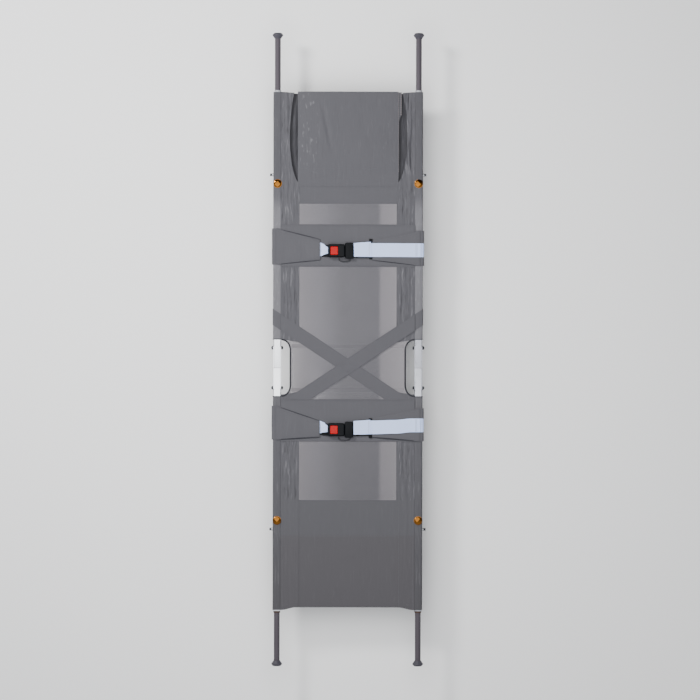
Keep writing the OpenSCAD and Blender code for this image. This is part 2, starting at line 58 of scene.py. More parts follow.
MM = 0.001
JOINTS = {joint["name"]: joint for joint in frame["joints"]}
HEAD_PIVOT = JOINTS["length_fold_head_left"]["pos_m"][1]
FOOT_PIVOT = JOINTS["length_fold"]["pos_m"][1]
FOLD = (HEAD_PIVOT + FOOT_PIVOT) / 2
POLE_LOW, POLE_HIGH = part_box("pole_head_right")
POLE_X = (POLE_LOW.x + POLE_HIGH.x) / 2
POLE_Z = (POLE_LOW.z + POLE_HIGH.z) / 2
POLE_HALF = (POLE_HIGH.x - POLE_LOW.x) / 2
BED_LOW, BED_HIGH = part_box("bed_head")
BED_X = BED_HIGH.x
BED_Z = (BED_LOW.z + BED_HIGH.z) / 2
CLOTH = BED_HIGH.z - BED_LOW.z
HEAD_END = BED_HIGH.y + 3.5 * MM
FOOT_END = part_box("bed_foot")[0].y
BAND_Z = (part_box("band_chest")[0].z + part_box("band_chest")[1].z) / 2
COVER_Z = (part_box("belt_covers_chest")[0].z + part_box("belt_covers_chest")[1].z) / 2
WEBBING_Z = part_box("belt_webbing_chest")[0].z

# The handholds: half their length, their inner edge and the radius of their corners
HOLE_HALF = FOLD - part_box("sleeve_foot_left")[1].y
HOLE_X = POLE_X - 47.5 * MM
HOLE_ROUND = 38 * MM

# Where the cloth ends on the poles, how far seams lie inside an edge, the width of hems, the gap between
# zones and the sag of the bed
BED_LAP = BED_X + 2.5 * MM
SEAM_IN, HEM_WIDE = 4 * MM, 16 * MM
ZONE_GAP = 0.02 * MM
SAG = 3 * MM

# Where the bed's cloth, its mesh, its pocket and the pocket's hem tape begin and end
POCKET_X = 180 * MM
PANEL_X = 175 * MM
POCKET_FOOT = 586 * MM
POCKET_SEAM = 650 * MM
SLIT_FOOT = 596 * MM
MESH_HEAD, MESH_FOOT = 524 * MM, -541.5 * MM
GUSSET_HEAD, GUSSET_FOOT = 27 * MM, -153 * MM
APRON = -671 * MM
TAPE_STEP, TAPE_WIDE = 820 * MM, 850 * MM

LEFT, RIGHT = -1, 1
SIDES = {"left": LEFT, "right": RIGHT}
SLIT_WIDE = {LEFT: 30 * MM, RIGHT: 33 * MM}


# ---- node trees ----

# The photo's bright exposure lifts the dark cloth, so its colours are dyed down to this share
DYE = 0.35
MESH_DYE = 0.48


def linear(code, strength=1.0):
    """Linear colour of a hex colour code."""
    values = [int(code[i:i + 2], 16) / 255 for i in (0, 2, 4)]
    return [strength * (v / 12.92 if v < 0.04045 else ((v + 0.055) / 1.055) ** 2.4) for v in values] + [1]


def put(tree, kind, links=None, **settings):
    """Adds a node; links maps its inputs, by name or number, to a value or to another node's socket."""
    made = tree.nodes.new(kind)
    for name, value in settings.items():
        setattr(made, name, value)
    for key, value in (links or {}).items():
        if isinstance(value, bpy.types.NodeSocket):
            tree.links.new(value, made.inputs[key])
        else:
            made.inputs[key].default_value = value
    return made


def math_node(tree, operation, a, b=0.0):
    """Result of one sum on two values or sockets."""
    return put(tree, "ShaderNodeMath", {0: a, 1: b}, operation=operation).outputs[0]


def mix_colour(tree, factor, a, b, blend="MIX"):
    """Colour a with colour b blended in by the factor."""
    return put(tree, "ShaderNodeMix", {0: factor, 6: a, 7: b}, data_type="RGBA", blend_type=blend).outputs[2]


def shader_group(name, inputs, outputs):
    """New shader group with (name, kind, default) inputs and (name, kind) outputs."""
    group = bpy.data.node_groups.new(name, "ShaderNodeTree")
    for title, kind, default in inputs:
        socket = group.interface.new_socket(title, in_out="INPUT", socket_type=kind)
        if default is not None:
            socket.default_value = default
    for title, kind in outputs:
        group.interface.new_socket(title, in_out="OUTPUT", socket_type=kind)
    return group, group.nodes.new("NodeGroupInput").outputs, group.nodes.new("NodeGroupOutput").inputs


def weave_group():
    """Plain weave: threads a Pitch apart both ways, with its height and its open holes."""
    group, given, out = shader_group(
        "Plain Weave",
        [("Vector", "NodeSocketVector", None), ("Pitch", "NodeSocketFloat", 1.0 * MM),
         ("Opening", "NodeSocketFloat", 0.3)],
        [("Height", "NodeSocketFloat"), ("Hole", "NodeSocketFloat")])
    parts = put(group, "ShaderNodeSeparateXYZ", {0: given["Vector"]})
    waves = []
    for axis in (0, 1):
        turn = math_node(group, "DIVIDE", parts.outputs[axis], given["Pitch"])
        waves.append(math_node(group, "COSINE", math_node(group, "MULTIPLY", turn, 2 * math.pi)))
    crossing = math_node(group, "MULTIPLY", waves[0], waves[1])
    threads = math_node(group, "MAXIMUM", waves[0], waves[1])
    height = math_node(group, "ADD", math_node(group, "MULTIPLY", threads, 0.5),
                       math_node(group, "MULTIPLY", crossing, 0.25))
    group.links.new(height, out["Height"])
    limit = math_node(group, "SUBTRACT", math_node(group, "MULTIPLY", given["Opening"], 2.0), 1.0)
    group.links.new(math_node(group, "LESS_THAN", threads, limit), out["Hole"])
    return group


def soil_group():
    """Slow change of tone: large soft clouds with finer mottling."""
    group, given, out = shader_group(
        "Soft Soil",
        [("Vector", "NodeSocketVector", None), ("Scale", "NodeSocketFloat", 6.0),
         ("Amount", "NodeSocketFloat", 0.2)],
        [("Tone", "NodeSocketFloat")])
    clouds = put(group, "ShaderNodeTexNoise", {"Vector": given["Vector"], "Scale": given["Scale"],
                                               "Detail": 4.0, "Roughness": 0.6})
    fine = put(group, "ShaderNodeTexNoise", {"Vector": given["Vector"], "Detail": 2.0,
                                             "Scale": math_node(group, "MULTIPLY", given["Scale"], 14.0)})
    both = math_node(group, "ADD", math_node(group, "MULTIPLY", clouds.outputs[0], 0.7),
                     math_node(group, "MULTIPLY", fine.outputs[0], 0.3))
    centred = math_node(group, "MULTIPLY", math_node(group, "SUBTRACT", both, 0.5), given["Amount"])
    group.links.new(math_node(group, "ADD", centred, 1.0), out["Tone"])
    return group


def crease_group():
    """Fine creases along Y: their height, a painted highlight on their crests, and painted shade in their
    hollows.
    """
    group, given, out = shader_group(
        "Long Creases",
        [("Vector", "NodeSocketVector", None), ("Amount", "NodeSocketFloat", 0.5)],
        [("Height", "NodeSocketFloat"), ("Light", "NodeSocketFloat"), ("Dark", "NodeSocketFloat")])
    bend = put(group, "ShaderNodeTexNoise", {"Vector": given["Vector"], "Scale": 22.0, "Detail": 1.0})
    strayed = put(group, "ShaderNodeVectorMath", {0: bend.outputs[1], 3: 0.012}, operation="SCALE")
    moved = put(group, "ShaderNodeVectorMath", {0: given["Vector"], 1: strayed.outputs[0]}, operation="ADD")
    long_way = put(group, "ShaderNodeMapping", {"Vector": moved.outputs[0], "Scale": (150.0, 13.0, 1.0)})
    lines = put(group, "ShaderNodeTexNoise", {"Vector": long_way.outputs[0], "Scale": 1.0, "Detail": 3.0,
                                              "Roughness": 0.6})
    lit = put(group, "ShaderNodeMapRange", {0: lines.outputs[0], 1: 0.57, 2: 0.74})
    low = put(group, "ShaderNodeMapRange", {0: lines.outputs[0], 1: 0.44, 2: 0.30})
    group.links.new(math_node(group, "MULTIPLY", lines.outputs[0], given["Amount"]), out["Height"])
    group.links.new(math_node(group, "MULTIPLY", lit.outputs[0], given["Amount"]), out["Light"])
    group.links.new(math_node(group, "MULTIPLY", low.outputs[0], given["Amount"]), out["Dark"])
    return group


def scratch_group():
    """Long fine scratches and rubbed patches, as on drawn or painted metal."""
    group, given, out = shader_group(
        "Rubbed Metal",
        [("Vector", "NodeSocketVector", None), ("Amount", "NodeSocketFloat", 0.5)],
        [("Wear", "NodeSocketFloat"), ("Grain", "NodeSocketFloat")])
    long_way = put(group, "ShaderNodeMapping", {"Vector": given["Vector"], "Scale": (900.0, 14.0, 900.0)})
    grain = put(group, "ShaderNodeTexNoise", {"Vector": long_way.outputs[0], "Scale": 1.0, "Detail": 3.0})
    patches = put(group, "ShaderNodeTexNoise", {"Vector": given["Vector"], "Scale": 28.0, "Detail": 8.0,
                                                "Roughness": 0.7})
    rubbed = put(group, "ShaderNodeMapRange", {0: patches.outputs[0], 1: 0.55, 2: 0.75})
    group.links.new(math_node(group, "MULTIPLY", rubbed.outputs[0], given["Amount"]), out["Wear"])
    group.links.new(grain.outputs[0], out["Grain"])
    return group


WEAVE, SOIL, CREASES, SCRATCH = weave_group(), soil_group(), crease_group(), scratch_group()


def use(tree, group, **values):
    """Outputs of a shader group, placed in a material with its own values."""
    return put(tree, "ShaderNodeGroup", values, node_tree=group).outputs


# ---- finishes ----

def new_finish(name, **values):
    """Material, its tree and its Principled shader, with plain values set on the shader's sockets."""
    made = bpy.data.materials.new(name)
    made.use_nodes = True
    tree = made.node_tree
    shader = tree.nodes["Principled BSDF"]
    for key, value in values.items():
        shader.inputs[key.replace("_", " ")].default_value = value
    return made, tree, shader


def place(tree, kind="Object"):
    """Coordinates that a pattern is laid out on."""
    return put(tree, "ShaderNodeTexCoord").outputs[kind]


def bump(tree, shader, height, strength, distance):
    """Relief from a height."""
    made = put(tree, "ShaderNodeBump", {"Height": height, "Strength": strength, "Distance": distance})
    tree.links.new(made.outputs[0], shader.inputs["Normal"])


def tint(tree, shader, colour, tone):
    """Base colour made lighter or darker by a tone."""
    mixed = put(tree, "ShaderNodeVectorMath", {0: colour, 1: tone}, operation="MULTIPLY")
    tree.links.new(mixed.outputs[0], shader.inputs["Base Color"])


def tones(tree, spot, axis, stops, dye=1.0):
    """Colour along an axis of the map, through (place in metres, colour code) stops."""
    along = put(tree, "ShaderNodeSeparateXYZ", {0: spot}).outputs[axis]
    low, high = stops[0][0], stops[-1][0]
    share = put(tree, "ShaderNodeMapRange", {0: along, 1: low, 2: high})
    ramp = put(tree, "ShaderNodeValToRGB", {0: share.outputs[0]})
    marks = ramp.color_ramp.elements
    marks.remove(marks[1])
    marks[0].color = linear(stops[0][1], dye)
    for stop, code in stops[1:]:
        marks.new((stop - low) / (high - low)).color = linear(code, dye)
    return ramp.outputs[0]


def painted_highlight_flecks(tree, spot, across, along):
    """How much flecks of painted highlight show, kept to stretches across and along the bed."""
    slanted = put(tree, "ShaderNodeMapping", {"Vector": spot, "Rotation": (0.0, 0.0, 0.35),
                                              "Scale": (1.0, 0.38, 1.0)})
    patches = put(tree, "ShaderNodeTexNoise", {"Vector": slanted.outputs[0], "Scale": 105.0, "Detail": 1.0})
    flecks = put(tree, "ShaderNodeMapRange", {0: patches.outputs[0], 1: 0.60, 2: 0.74}).outputs[0]
    for axis, stops in ((0, across), (1, along)):
        flecks = mix_colour(tree, 1.0, flecks, tones(tree, spot, axis, stops), "MULTIPLY")
    return flecks


def grey_cloth(name, dye, creases, pitch=0.9 * MM, light="B9B8BF", flecks=()):
    """Coated woven cloth with fine creases, painted highlight on their crests and painted shade in their
    hollows, and flecks of painted highlight; dye is one colour, or stops along the bed.
    """
    made, tree, shader = new_finish(name, Roughness=0.72, Sheen_Weight=0.08, Sheen_Roughness=0.5)
    spot = place(tree, "UV")
    colour = linear(dye, DYE) if isinstance(dye, str) else tones(tree, spot, 1, dye, DYE)
    soil = use(tree, SOIL, Vector=spot, Scale=5.0, Amount=0.14)
    weave = use(tree, WEAVE, Vector=spot, Pitch=pitch)
    lines = use(tree, CREASES, Vector=spot, Amount=creases)
    # Painted highlight on the creases' crests, and painted shade in their hollows.
    colour = mix_colour(tree, lines["Light"], colour, linear(light, DYE))
    colour = mix_colour(tree, lines["Dark"], colour, linear("3C3B43", DYE))
    # Flecks of painted highlight, in the light colour.
    if flecks:
        colour = mix_colour(tree, painted_highlight_flecks(tree, spot, *flecks), colour, linear(light, DYE))
    # The weave's low threads tint the colour darker as painted shade, over the soil's tone.
    soil_and_weave_shade = math_node(tree, "MULTIPLY", soil["Tone"],
                      math_node(tree, "ADD", math_node(tree, "MULTIPLY", weave["Height"], 0.05), 0.97))
    tint(tree, shader, colour, soil_and_weave_shade)
    tree.links.new(math_node(tree, "MULTIPLY", soil["Tone"], 0.70), shader.inputs["Roughness"])
    height = math_node(tree, "ADD", math_node(tree, "MULTIPLY", weave["Height"], 0.1),
                       math_node(tree, "MULTIPLY", lines["Height"], 2.0))
    bump(tree, shader, height, 0.7, 2.0 * MM)
    return made


# Colours of the mesh, at places across and along the bed in metres: painted shade in soft bands across it,
# darkest just right of the middle, and painted light falloff, darker towards the foot
MESH_PAINTED_SHADE_ACROSS = ((-0.181, "A19CA2"), (-0.10, "95929A"), (-0.02, "7E7C83"), (0.108, "7A7880"), (0.122, "A29DA4"),
               (0.184, "ADA8AE"))
MESH_PAINTED_FALLOFF_ALONG = ((-0.55, "EAEAEA"), (-0.33, "F2F2F2"), (0.1, "FFFFFF"), (0.53, "FAFAFA"))


def mesh_cloth(name, opening):
    """Mesh: threads with holes between them, unless opening is 0; painted shade makes it paler at its sides
    and to the head.
    """
    made, tree, shader = new_finish(name, Roughness=0.6, Sheen_Weight=0.1)
    spot = place(tree, "UV")
    weave = use(tree, WEAVE, Vector=spot, Pitch=1.6 * MM, Opening=opening)
    across, along = tones(tree, spot, 0, MESH_PAINTED_SHADE_ACROSS, MESH_DYE), tones(tree, spot, 1, MESH_PAINTED_FALLOFF_ALONG)
    colour = mix_colour(tree, 1.0, across, along, "MULTIPLY")
    soil = use(tree, SOIL, Vector=spot, Scale=3.0, Amount=0.12)
    tint(tree, shader, colour, soil["Tone"])
    if opening:
        tree.links.new(math_node(tree, "SUBTRACT", 1.0, weave["Hole"]), shader.inputs["Alpha"])
    bump(tree, shader, weave["Height"], 0.5, 0.4 * MM)
    return made


def ribbed_webbing():
    """Belt webbing with ribs along its length; V of its own map runs across it."""
    made, tree, shader = new_finish("belt_webbing", Roughness=0.42, Sheen_Weight=0.25)
    spot = place(tree, "UV")
    rib, pick = 2.2 * MM, 1.1 * MM
    parts = put(tree, "ShaderNodeSeparateXYZ", {0: spot}).outputs
    ribs = math_node(tree, "SINE", math_node(tree, "MULTIPLY", parts[1], 2 * math.pi / rib))
    picks = math_node(tree, "SINE", math_node(tree, "MULTIPLY", parts[0], 2 * math.pi / pick))
    height = math_node(tree, "ADD", ribs, math_node(tree, "MULTIPLY", picks, 0.35))
    soil = use(tree, SOIL, Vector=spot, Scale=12.0, Amount=0.1)
    # The ribs' hollows tint the colour darker as painted shade, over the soil's tone.
    soil_and_weave_shade = math_node(tree, "MULTIPLY", soil["Tone"],
                      math_node(tree, "ADD", math_node(tree, "MULTIPLY", height, 0.03), 0.98))
    tint(tree, shader, linear("C4D6FF")[:3], soil_and_weave_shade)
    bump(tree, shader, height, 0.4, 0.3 * MM)
    return made


def metal(name, code, rough, wear, worn, grain=0.15):
    """Bare metal with fine scratches along its length, rubbed to a second colour in patches."""
    made, tree, shader = new_finish(name, Metallic=1.0, Roughness=rough)
    spot = place(tree)
    rubbed = use(tree, SCRATCH, Vector=spot, Amount=wear)
    soil = use(tree, SOIL, Vector=spot, Scale=20.0, Amount=0.2)
    colour = mix_colour(tree, rubbed["Wear"], linear(code), linear(worn))
    tint(tree, shader, colour, soil["Tone"])
    rougher = math_node(tree, "ADD", math_node(tree, "MULTIPLY", rubbed["Grain"], grain), rough - grain / 2)
    tree.links.new(rougher, shader.inputs["Roughness"])
    bump(tree, shader, rubbed["Grain"], 0.12, 0.1 * MM)
    return made


def plastic(name, code, rough, grain=900.0, relief=0.1, worn="55565A", wear=0.25, gloss=0.5):
    """Plastic or paint with a pebbled face, rubbed to a second colour in patches."""
    made, tree, shader = new_finish(name, Roughness=rough, Specular_IOR_Level=gloss)
    spot = place(tree)
    pebble = put(tree, "ShaderNodeTexNoise", {"Vector": spot, "Scale": grain, "Detail": 2.0})
    rubbed = use(tree, SCRATCH, Vector=spot, Amount=wear)
    tree.links.new(mix_colour(tree, rubbed["Wear"], linear(code), linear(worn)), shader.inputs["Base Color"])
    rougher = math_node(tree, "ADD", math_node(tree, "MULTIPLY", pebble.outputs[0], 0.2), rough - 0.1)
    tree.links.new(rougher, shader.inputs["Roughness"])
    bump(tree, shader, pebble.outputs[0], relief, 0.2 * MM)
    return made


# Colours of the cloth, at places along the bed in metres; both darken towards the foot as painted light
# falloff, and the sleeves are paler over the middle stretch
COVER_TONES_WITH_FALLOFF = ((-0.94, "6D6A70"), (-0.672, "6F6C72"), (-0.668, "727178"), (-0.55, "737279"),
               (-0.33, "76757D"), (0.0, "74737B"), (0.5, "75747C"), (0.92, "74737B"))
SLEEVE_TONES_WITH_FALLOFF = ((-0.94, "66646A"), (-0.60, "6E6D74"), (-0.33, "74737B"), (-0.17, "807F86"), (0.04, "A2A1A8"),
                (0.50, "A5A4AC"), (0.55, "7C7B83"), (0.62, "6F6E76"), (0.92, "6D6C74"))

# How much the flecks of painted highlight show, across and along the bed
EVERYWHERE = ((-0.5, "FFFFFF"), (0.5, "FFFFFF"))
SLEEVE_HIGHLIGHT_FLECKS = (EVERYWHERE,
                 ((-0.20, "000000"), (0.0, "808080"), (0.50, "808080"), (0.56, "101010"), (0.92, "101010")))
POCKET_HIGHLIGHT_FLECKS = (((-0.181, "000000"), (-0.165, "FFFFFF"), (-0.125, "FFFFFF"), (-0.10, "000000"),
                  (0.10, "000000"), (0.13, "808080"), (0.181, "808080")),
                 ((0.60, "000000"), (0.68, "C0C0C0"), (0.90, "C0C0C0"), (0.93, "000000")))

FINISH = {
    "cover": grey_cloth("cover_cloth", COVER_TONES_WITH_FALLOFF, creases=0.06),
    "strip": grey_cloth("strip_cloth", COVER_TONES_WITH_FALLOFF, creases=0.7, light="BDBCC4"),
    "sleeve": grey_cloth("sleeve_cloth", SLEEVE_TONES_WITH_FALLOFF, creases=0.2, light="DCDCE2", flecks=SLEEVE_HIGHLIGHT_FLECKS),
    "pocket": grey_cloth("pocket_cloth", COVER_TONES_WITH_FALLOFF, creases=0.12, light="B4B3BA", flecks=POCKET_HIGHLIGHT_FLECKS),
    # Dyed dark as painted shade, for the shade in the slits beside the pocket and below each buckle.
    "folds": grey_cloth("shaded_folds", "45444D", creases=0.9, light="6F6E77"),
    "strap": grey_cloth("strap_cloth", "74737B", pitch=1.4 * MM, creases=0.05),
    "binding": grey_cloth("binding_tape", "262838", creases=0.0),
    "thread": grey_cloth("seam_thread", "85848C", pitch=0.5 * MM, creases=0.0),
    "tack": grey_cloth("bar_tack_thread", "E4E8F0", pitch=0.5 * MM, creases=0.0),
    "pale_thread": grey_cloth("pale_thread", "EADCDD", pitch=0.5 * MM, creases=0.0),
    "mesh": mesh_cloth("open_mesh", 0.3),
    "backing": mesh_cloth("mesh_backing", 0.0),
    "webbing": ribbed_webbing(),
    "aluminium": metal("bare_aluminium", "D9DBDF", rough=0.33, wear=0.4, worn="F2F3F5"),
    # Darker than the bare aluminium as painted shade, and more rubbed.
    "worn_aluminium": metal("worn_aluminium", "A9ABB2", rough=0.45, wear=0.9, worn="6E7078"),
    "grey_tube": plastic("grey_tube", "4A454B", rough=0.6, grain=300.0, worn="5A585E", gloss=0.2),
    "zinc": metal("zinc_steel", "B9BBBE", rough=0.42, wear=0.4, worn="8A8B8D"),
    "dark_steel": metal("dark_steel", "3A3B40", rough=0.4, wear=0.5, worn="8A8B8D"),
    # Dyed far darker than bright brass as painted shade, for the dark surroundings that its domes reflect.
    "brass": metal("polished_brass", "70481C", rough=0.06, wear=0.15, worn="5C3C16", grain=0.03),
    "stain": plastic("joint_stain", "4A3A30", rough=0.7, gloss=0.1),
    "collar": plastic("collar_plastic", "9FA0A6", rough=0.5, worn="77787E"),
    "cap": plastic("cap_plastic", "3F3D45", rough=0.5, worn="5E5D66", gloss=0.3),
    "black": plastic("black_plastic", "0B0D10", rough=0.45, worn="191B1F", gloss=0.08),
    "red": plastic("red_button", "A80003", rough=0.2, grain=1400.0, relief=0.03, worn="B0060A", wear=0.1,
                   gloss=0.12),
}


# ---- meshes ----

# An edge that turns more than CRISP stays crisp on cloth and is bevelled on a hard piece, and a hard piece's
# faces are smooth across an edge that turns less than ROUND_TURN
CRISP, ROUND_TURN = math.radians(50), math.radians(32)


def in_scene(name, data):
    """New object in the scene, at the origin."""
    made = bpy.data.objects.new(name, data)
    bpy.context.scene.collection.objects.link(made)
    return made


def new_piece(name, mesh, *finishes):
    """Piece of the stretcher with its finishes."""
    piece = in_scene(name, mesh)
    for finish in finishes:
        mesh.materials.append(FINISH[finish])
    return piece


def mesh_of(name, points, faces):
    """Checked mesh from points and faces."""
    mesh = bpy.data.meshes.new(name)
    mesh.from_pydata([tuple(p) for p in points], [], faces)
    mesh.validate()
    return mesh


def baked(holder, name):
    """Plain mesh of an evaluated object, which is then removed."""
    mesh = bpy.data.meshes.new_from_object(holder.evaluated_get(bpy.context.evaluated_depsgraph_get()))
    bpy.data.objects.remove(holder)
    mesh.name = name
    return mesh


def ripple(x, y, seed):
    """Smooth noise from -1 to 1."""
    return noise.noise(Vector((x, y, seed)))


def bulge(value, low, high):
    """0 at both ends of a stretch, 1 in its middle."""
    share = (value - low) / (high - low)
    return math.sin(math.pi * share) if 0 < share < 1 else 0.0


def ease(value, low, high):
    """Rises smoothly from 0 at low to 1 at high."""
    share = min(max((value - low) / (high - low), 0), 1)
    return share * share * (3 - 2 * share)


def spread(*stops, step):
    """Grid lines through all the stops, at most a step apart."""
    lines = []
    for a, b in zip(stops, stops[1:]):
        count = max(1, math.ceil(abs(b - a) / step))
        lines += [a + (b - a) * i / count for i in range(count)]
    return lines + [stops[-1]]


def cloth_mesh(name, tops, lows, faces, maps):
    """Smooth mesh of a sheet's upper and lower points, with its flat map."""
    mesh = mesh_of(name, tops + lows, faces)
    chart = mesh.uv_layers.new(name="cloth")
    for loop in mesh.loops:
        chart.data[loop.index].uv = maps[loop.vertex_index % len(tops)]
    for polygon in mesh.polygons:
        polygon.use_smooth = True
    return mesh


def grid_rim(width, height):
    """Points round the outside of a grid of width by height points."""
    last = (height - 1) * width
    rim = list(range(width)) + [j * width + width - 1 for j in range(1, height)]
    return rim + [last + i for i in range(width - 2, -1, -1)] + [j * width for j in range(height - 2, 0, -1)]


def slab(name, rows, cols, point, thick, finishes, map_of, pick=None):
    """Closed thin sheet on a grid of rows and cols.

    point(u, v) gives a place and its upward normal, map_of(u, v) its place on the flat map, and pick(u, v)
    the number of its finish.
    """
    tops, lows, maps = [], [], []
    for v in rows:
        for u in cols:
            spot, normal = point(u, v)
            tops.append(spot + normal * thick / 2)
            lows.append(spot - normal * thick / 2)
            maps.append(map_of(u, v))
    count, width = len(tops), len(cols)
    faces, kinds = [], []
    for j in range(len(rows) - 1):
        for i in range(width - 1):
            a = j * width + i
            faces.append((a, a + 1, a + width + 1, a + width))
            faces.append(tuple(k + count for k in (a, a + width, a + width + 1, a + 1)))
            kinds += 2 * [pick((cols[i] + cols[i + 1]) / 2, (rows[j] + rows[j + 1]) / 2) if pick else 0]
    rim = grid_rim(width, len(rows))
    faces += [(b, a, a + count, b + count) for a, b in zip(rim, rim[1:] + rim[:1])]
    mesh = cloth_mesh(name, tops, lows, faces, maps)
    piece = new_piece(name, mesh, *finishes)
    for polygon, kind in zip(mesh.polygons, kinds):
        polygon.material_index = kind
    fix_sides(mesh)
    return piece


def fix_sides(mesh):
    """Turns every face outwards and keeps the rims crisp."""
    work = bmesh.new()
    work.from_mesh(mesh)
    bmesh.ops.recalc_face_normals(work, faces=work.faces)
    for edge in work.edges:
        edge.smooth = len(edge.link_faces) == 2 and edge.calc_face_angle(0) < CRISP
    work.to_mesh(mesh)
    work.free()


def seam_normal(height, x, y):
    """Upward normal of the surface z = height(x, y)."""
    reach = 1.0 * MM
    dx = (height(x + reach, y) - height(x - reach, y)) / (2 * reach)
    dy = (height(x, y + reach) - height(x, y - reach)) / (2 * reach)
    return Vector((-dx, -dy, 1)).normalized()


def draped(name, rows, cols, edges, height, thick, finishes, pick=None, shift=None):
    """Sheet over the bed: cols run from 0 to 1 between the two edges that edges(y) gives.

    pick(x, y) gives the number of the finish, and shift(x, y) moves a point along the bed.
    """
    def at(u, y):
        left, right = edges(y)
        return left + u * (right - left)
    def point(u, y):
        x = at(u, y)
        moved = y + (shift(x, y) if shift else 0.0)
        return Vector((x, moved, height(x, moved))), seam_normal(height, x, moved)
    def chosen(u, y):
        return pick(at(u, y), y)
    return slab(name, rows, cols, point, thick, finishes, lambda u, y: (at(u, y), y),
                chosen if pick else None)


def gather(piece, body):
    """The piece rides on the left pole's body, with a mesh of its own."""
    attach(piece, body)
    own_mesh(piece)
    return piece


def zone_body(y):
    """Left body that carries the bed at y."""
    if y > HEAD_PIVOT:
        return "head_left"
    return "hinge_left" if y > FOOT_PIVOT else "foot_left"


# ---- the bed ----

def slit_reach(side, y):
    """Distance from the middle to the outer edge of the open slit beside the pocket."""
    share = min(max((y - SLIT_FOOT) / (HEAD_END - SLIT_FOOT), 0), 1)
    inner = PANEL_X + (POCKET_X - PANEL_X) * ease(y, SLIT_FOOT - 20 * MM, SLIT_FOOT + 40 * MM)
    return inner + SLIT_WIDE[side] * math.sin(math.pi * (0.82 * share) ** 0.8) ** 0.9


def slit_folds(side, x, y):
    """Long folds in the strip beside the right-hand slit."""
    if side == LEFT or y < SLIT_FOOT:
        return 0.0
    across = (x - POCKET_X) / (13 * MM) + 0.7 * ripple(x * 9, y * 8, 12.7)
    ridge = (1 - abs(ripple(across, y / (210 * MM), 5.3))) ** 3
    return -3.5 * MM * ridge * bulge(x, POCKET_X + 8 * MM, BED_X) * ease(y, SLIT_FOOT, 660 * MM)


def strip_wrinkles(side, x, y):
    """Lengthwise wrinkles in the strips between the sleeves and the middle panel."""
    share = (abs(x) - POCKET_X) / (BED_X - POCKET_X)
    fade = math.sin(math.pi * min(max(share, 0), 1)) ** 0.6
    drift = 0.8 * ripple(x * 9, y * 6, 3.3)
    slow = ripple(x / (12 * MM) + drift, y / (150 * MM), 7.1 + side)
    quick = ripple(x / (6 * MM) + drift, y / (80 * MM), 1.9 + side)
    calm = ease(abs(y - FOLD), 100 * MM, 250 * MM) * (1 - 0.8 * ease(-y, 500 * MM, 560 * MM))
    deep = 1 + (0.9 if side == RIGHT else 0.3) * ease(y, SLIT_FOOT, 700 * MM)
    return fade * calm * deep * (2.8 * MM * slow + 1.2 * MM * quick) + slit_folds(side, x, y)


def bed_height(x, y):
    """Middle surface of the bed cloth."""
    flat = 1 - min(1, (x / BED_X) ** 2)
    return BED_Z - SAG * flat + 0.8 * MM * flat * ripple(x * 7, y * 5, 5.5)


def hem_shift(x, y):
    """How far the end hems bow in between the poles."""
    bow = ease(BED_X - abs(x), 0, 55 * MM)
    foot = max(0, 1 - (y - FOOT_END) / (80 * MM))
    head = max(0, 1 - (HEAD_END - y) / (60 * MM))
    return bow * (9.5 * MM * foot - 3.5 * MM * head)


def hole_edge(away):
    """Distance from the middle to the handhold's edge, at a distance away from the fold line."""
    straight = HOLE_HALF - HOLE_ROUND
    turn = min(max((away - straight) / HOLE_ROUND, 0), 1)
    return HOLE_X + (BED_X - HOLE_X) * (1 - math.sqrt(1 - turn * turn))


def panel_edges(y):
    """Left and right edge of the middle panel, which widens to the handholds."""
    away = abs(y - FOLD)
    edge = hole_edge(away) if away < HOLE_HALF - SEAM_IN else POCKET_X + SEAM_IN
    return -edge, edge


def panel_kind(_, y):
    """0 cover cloth, 1 mesh."""
    return 1 if MESH_FOOT < y < MESH_HEAD else 0


def round_corner(turn):
    """Distance from the fold line to a point on a handhold's round corner, at a turn in degrees."""
    return HOLE_HALF - HOLE_ROUND + HOLE_ROUND * math.sin(math.radians(turn))


def hole_rows(low, high):
    """Rows that follow the handholds' round corners."""
    rows = [FOLD + side * round_corner(turn) for side in (-1, 1) for turn in range(0, 75, 5)]
    rows += [FOLD + side * (HOLE_HALF - SEAM_IN) for side in (-1, 1)]
    return [row for row in rows if low < row < high]


def merged(*lines):
    """Sorted rows, thinned where they crowd; the last one stays."""
    rows = sorted(sum((list(line) for line in lines), []))
    kept = rows[:1]
    for row in rows[1:]:
        if row - kept[-1] > 1.2 * MM:
            kept.append(row)
    return kept[:-1] + rows[-1:]


ZONES = {"head": (HEAD_PIVOT + ZONE_GAP, HEAD_END), "middle": (FOOT_PIVOT + ZONE_GAP, HEAD_PIVOT - ZONE_GAP),
         "foot": (FOOT_END, FOOT_PIVOT - ZONE_GAP)}


def bed_panels():
    """Middle panel in three zones: opaque cloth at both ends, open mesh between them."""
    for zone, (low, high) in ZONES.items():
        top = SLIT_FOOT if zone == "head" else high
        stops = [low, *[y for y in (MESH_FOOT, MESH_HEAD) if low < y < top], top]
        rows = merged(spread(*stops, step=10 * MM), hole_rows(low, top))
        piece = draped(f"bed_{zone}_panel", rows, spread(0.0, 1.0, step=0.025), panel_edges, bed_height,
                       CLOTH, ("cover", "mesh"), panel_kind, hem_shift)
        gather(piece, zone_body((low + high) / 2))
        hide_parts("bed_" + zone)


def strip_height(side):
    """Strip surface: above the panel, wrinkled, with a lifted edge along the slit."""
    def height(x, y):
        near = math.exp(-max(abs(x) - slit_reach(side, y), 0) / (7 * MM))
        lip = 3.0 * MM * near * ease(y, SLIT_FOOT, 650 * MM)
        over = 1.3 * MM * (1 - ease(abs(x), POCKET_X, BED_X))
        return bed_height(x, y) + strip_wrinkles(side, x, y) + lip + over
    return height


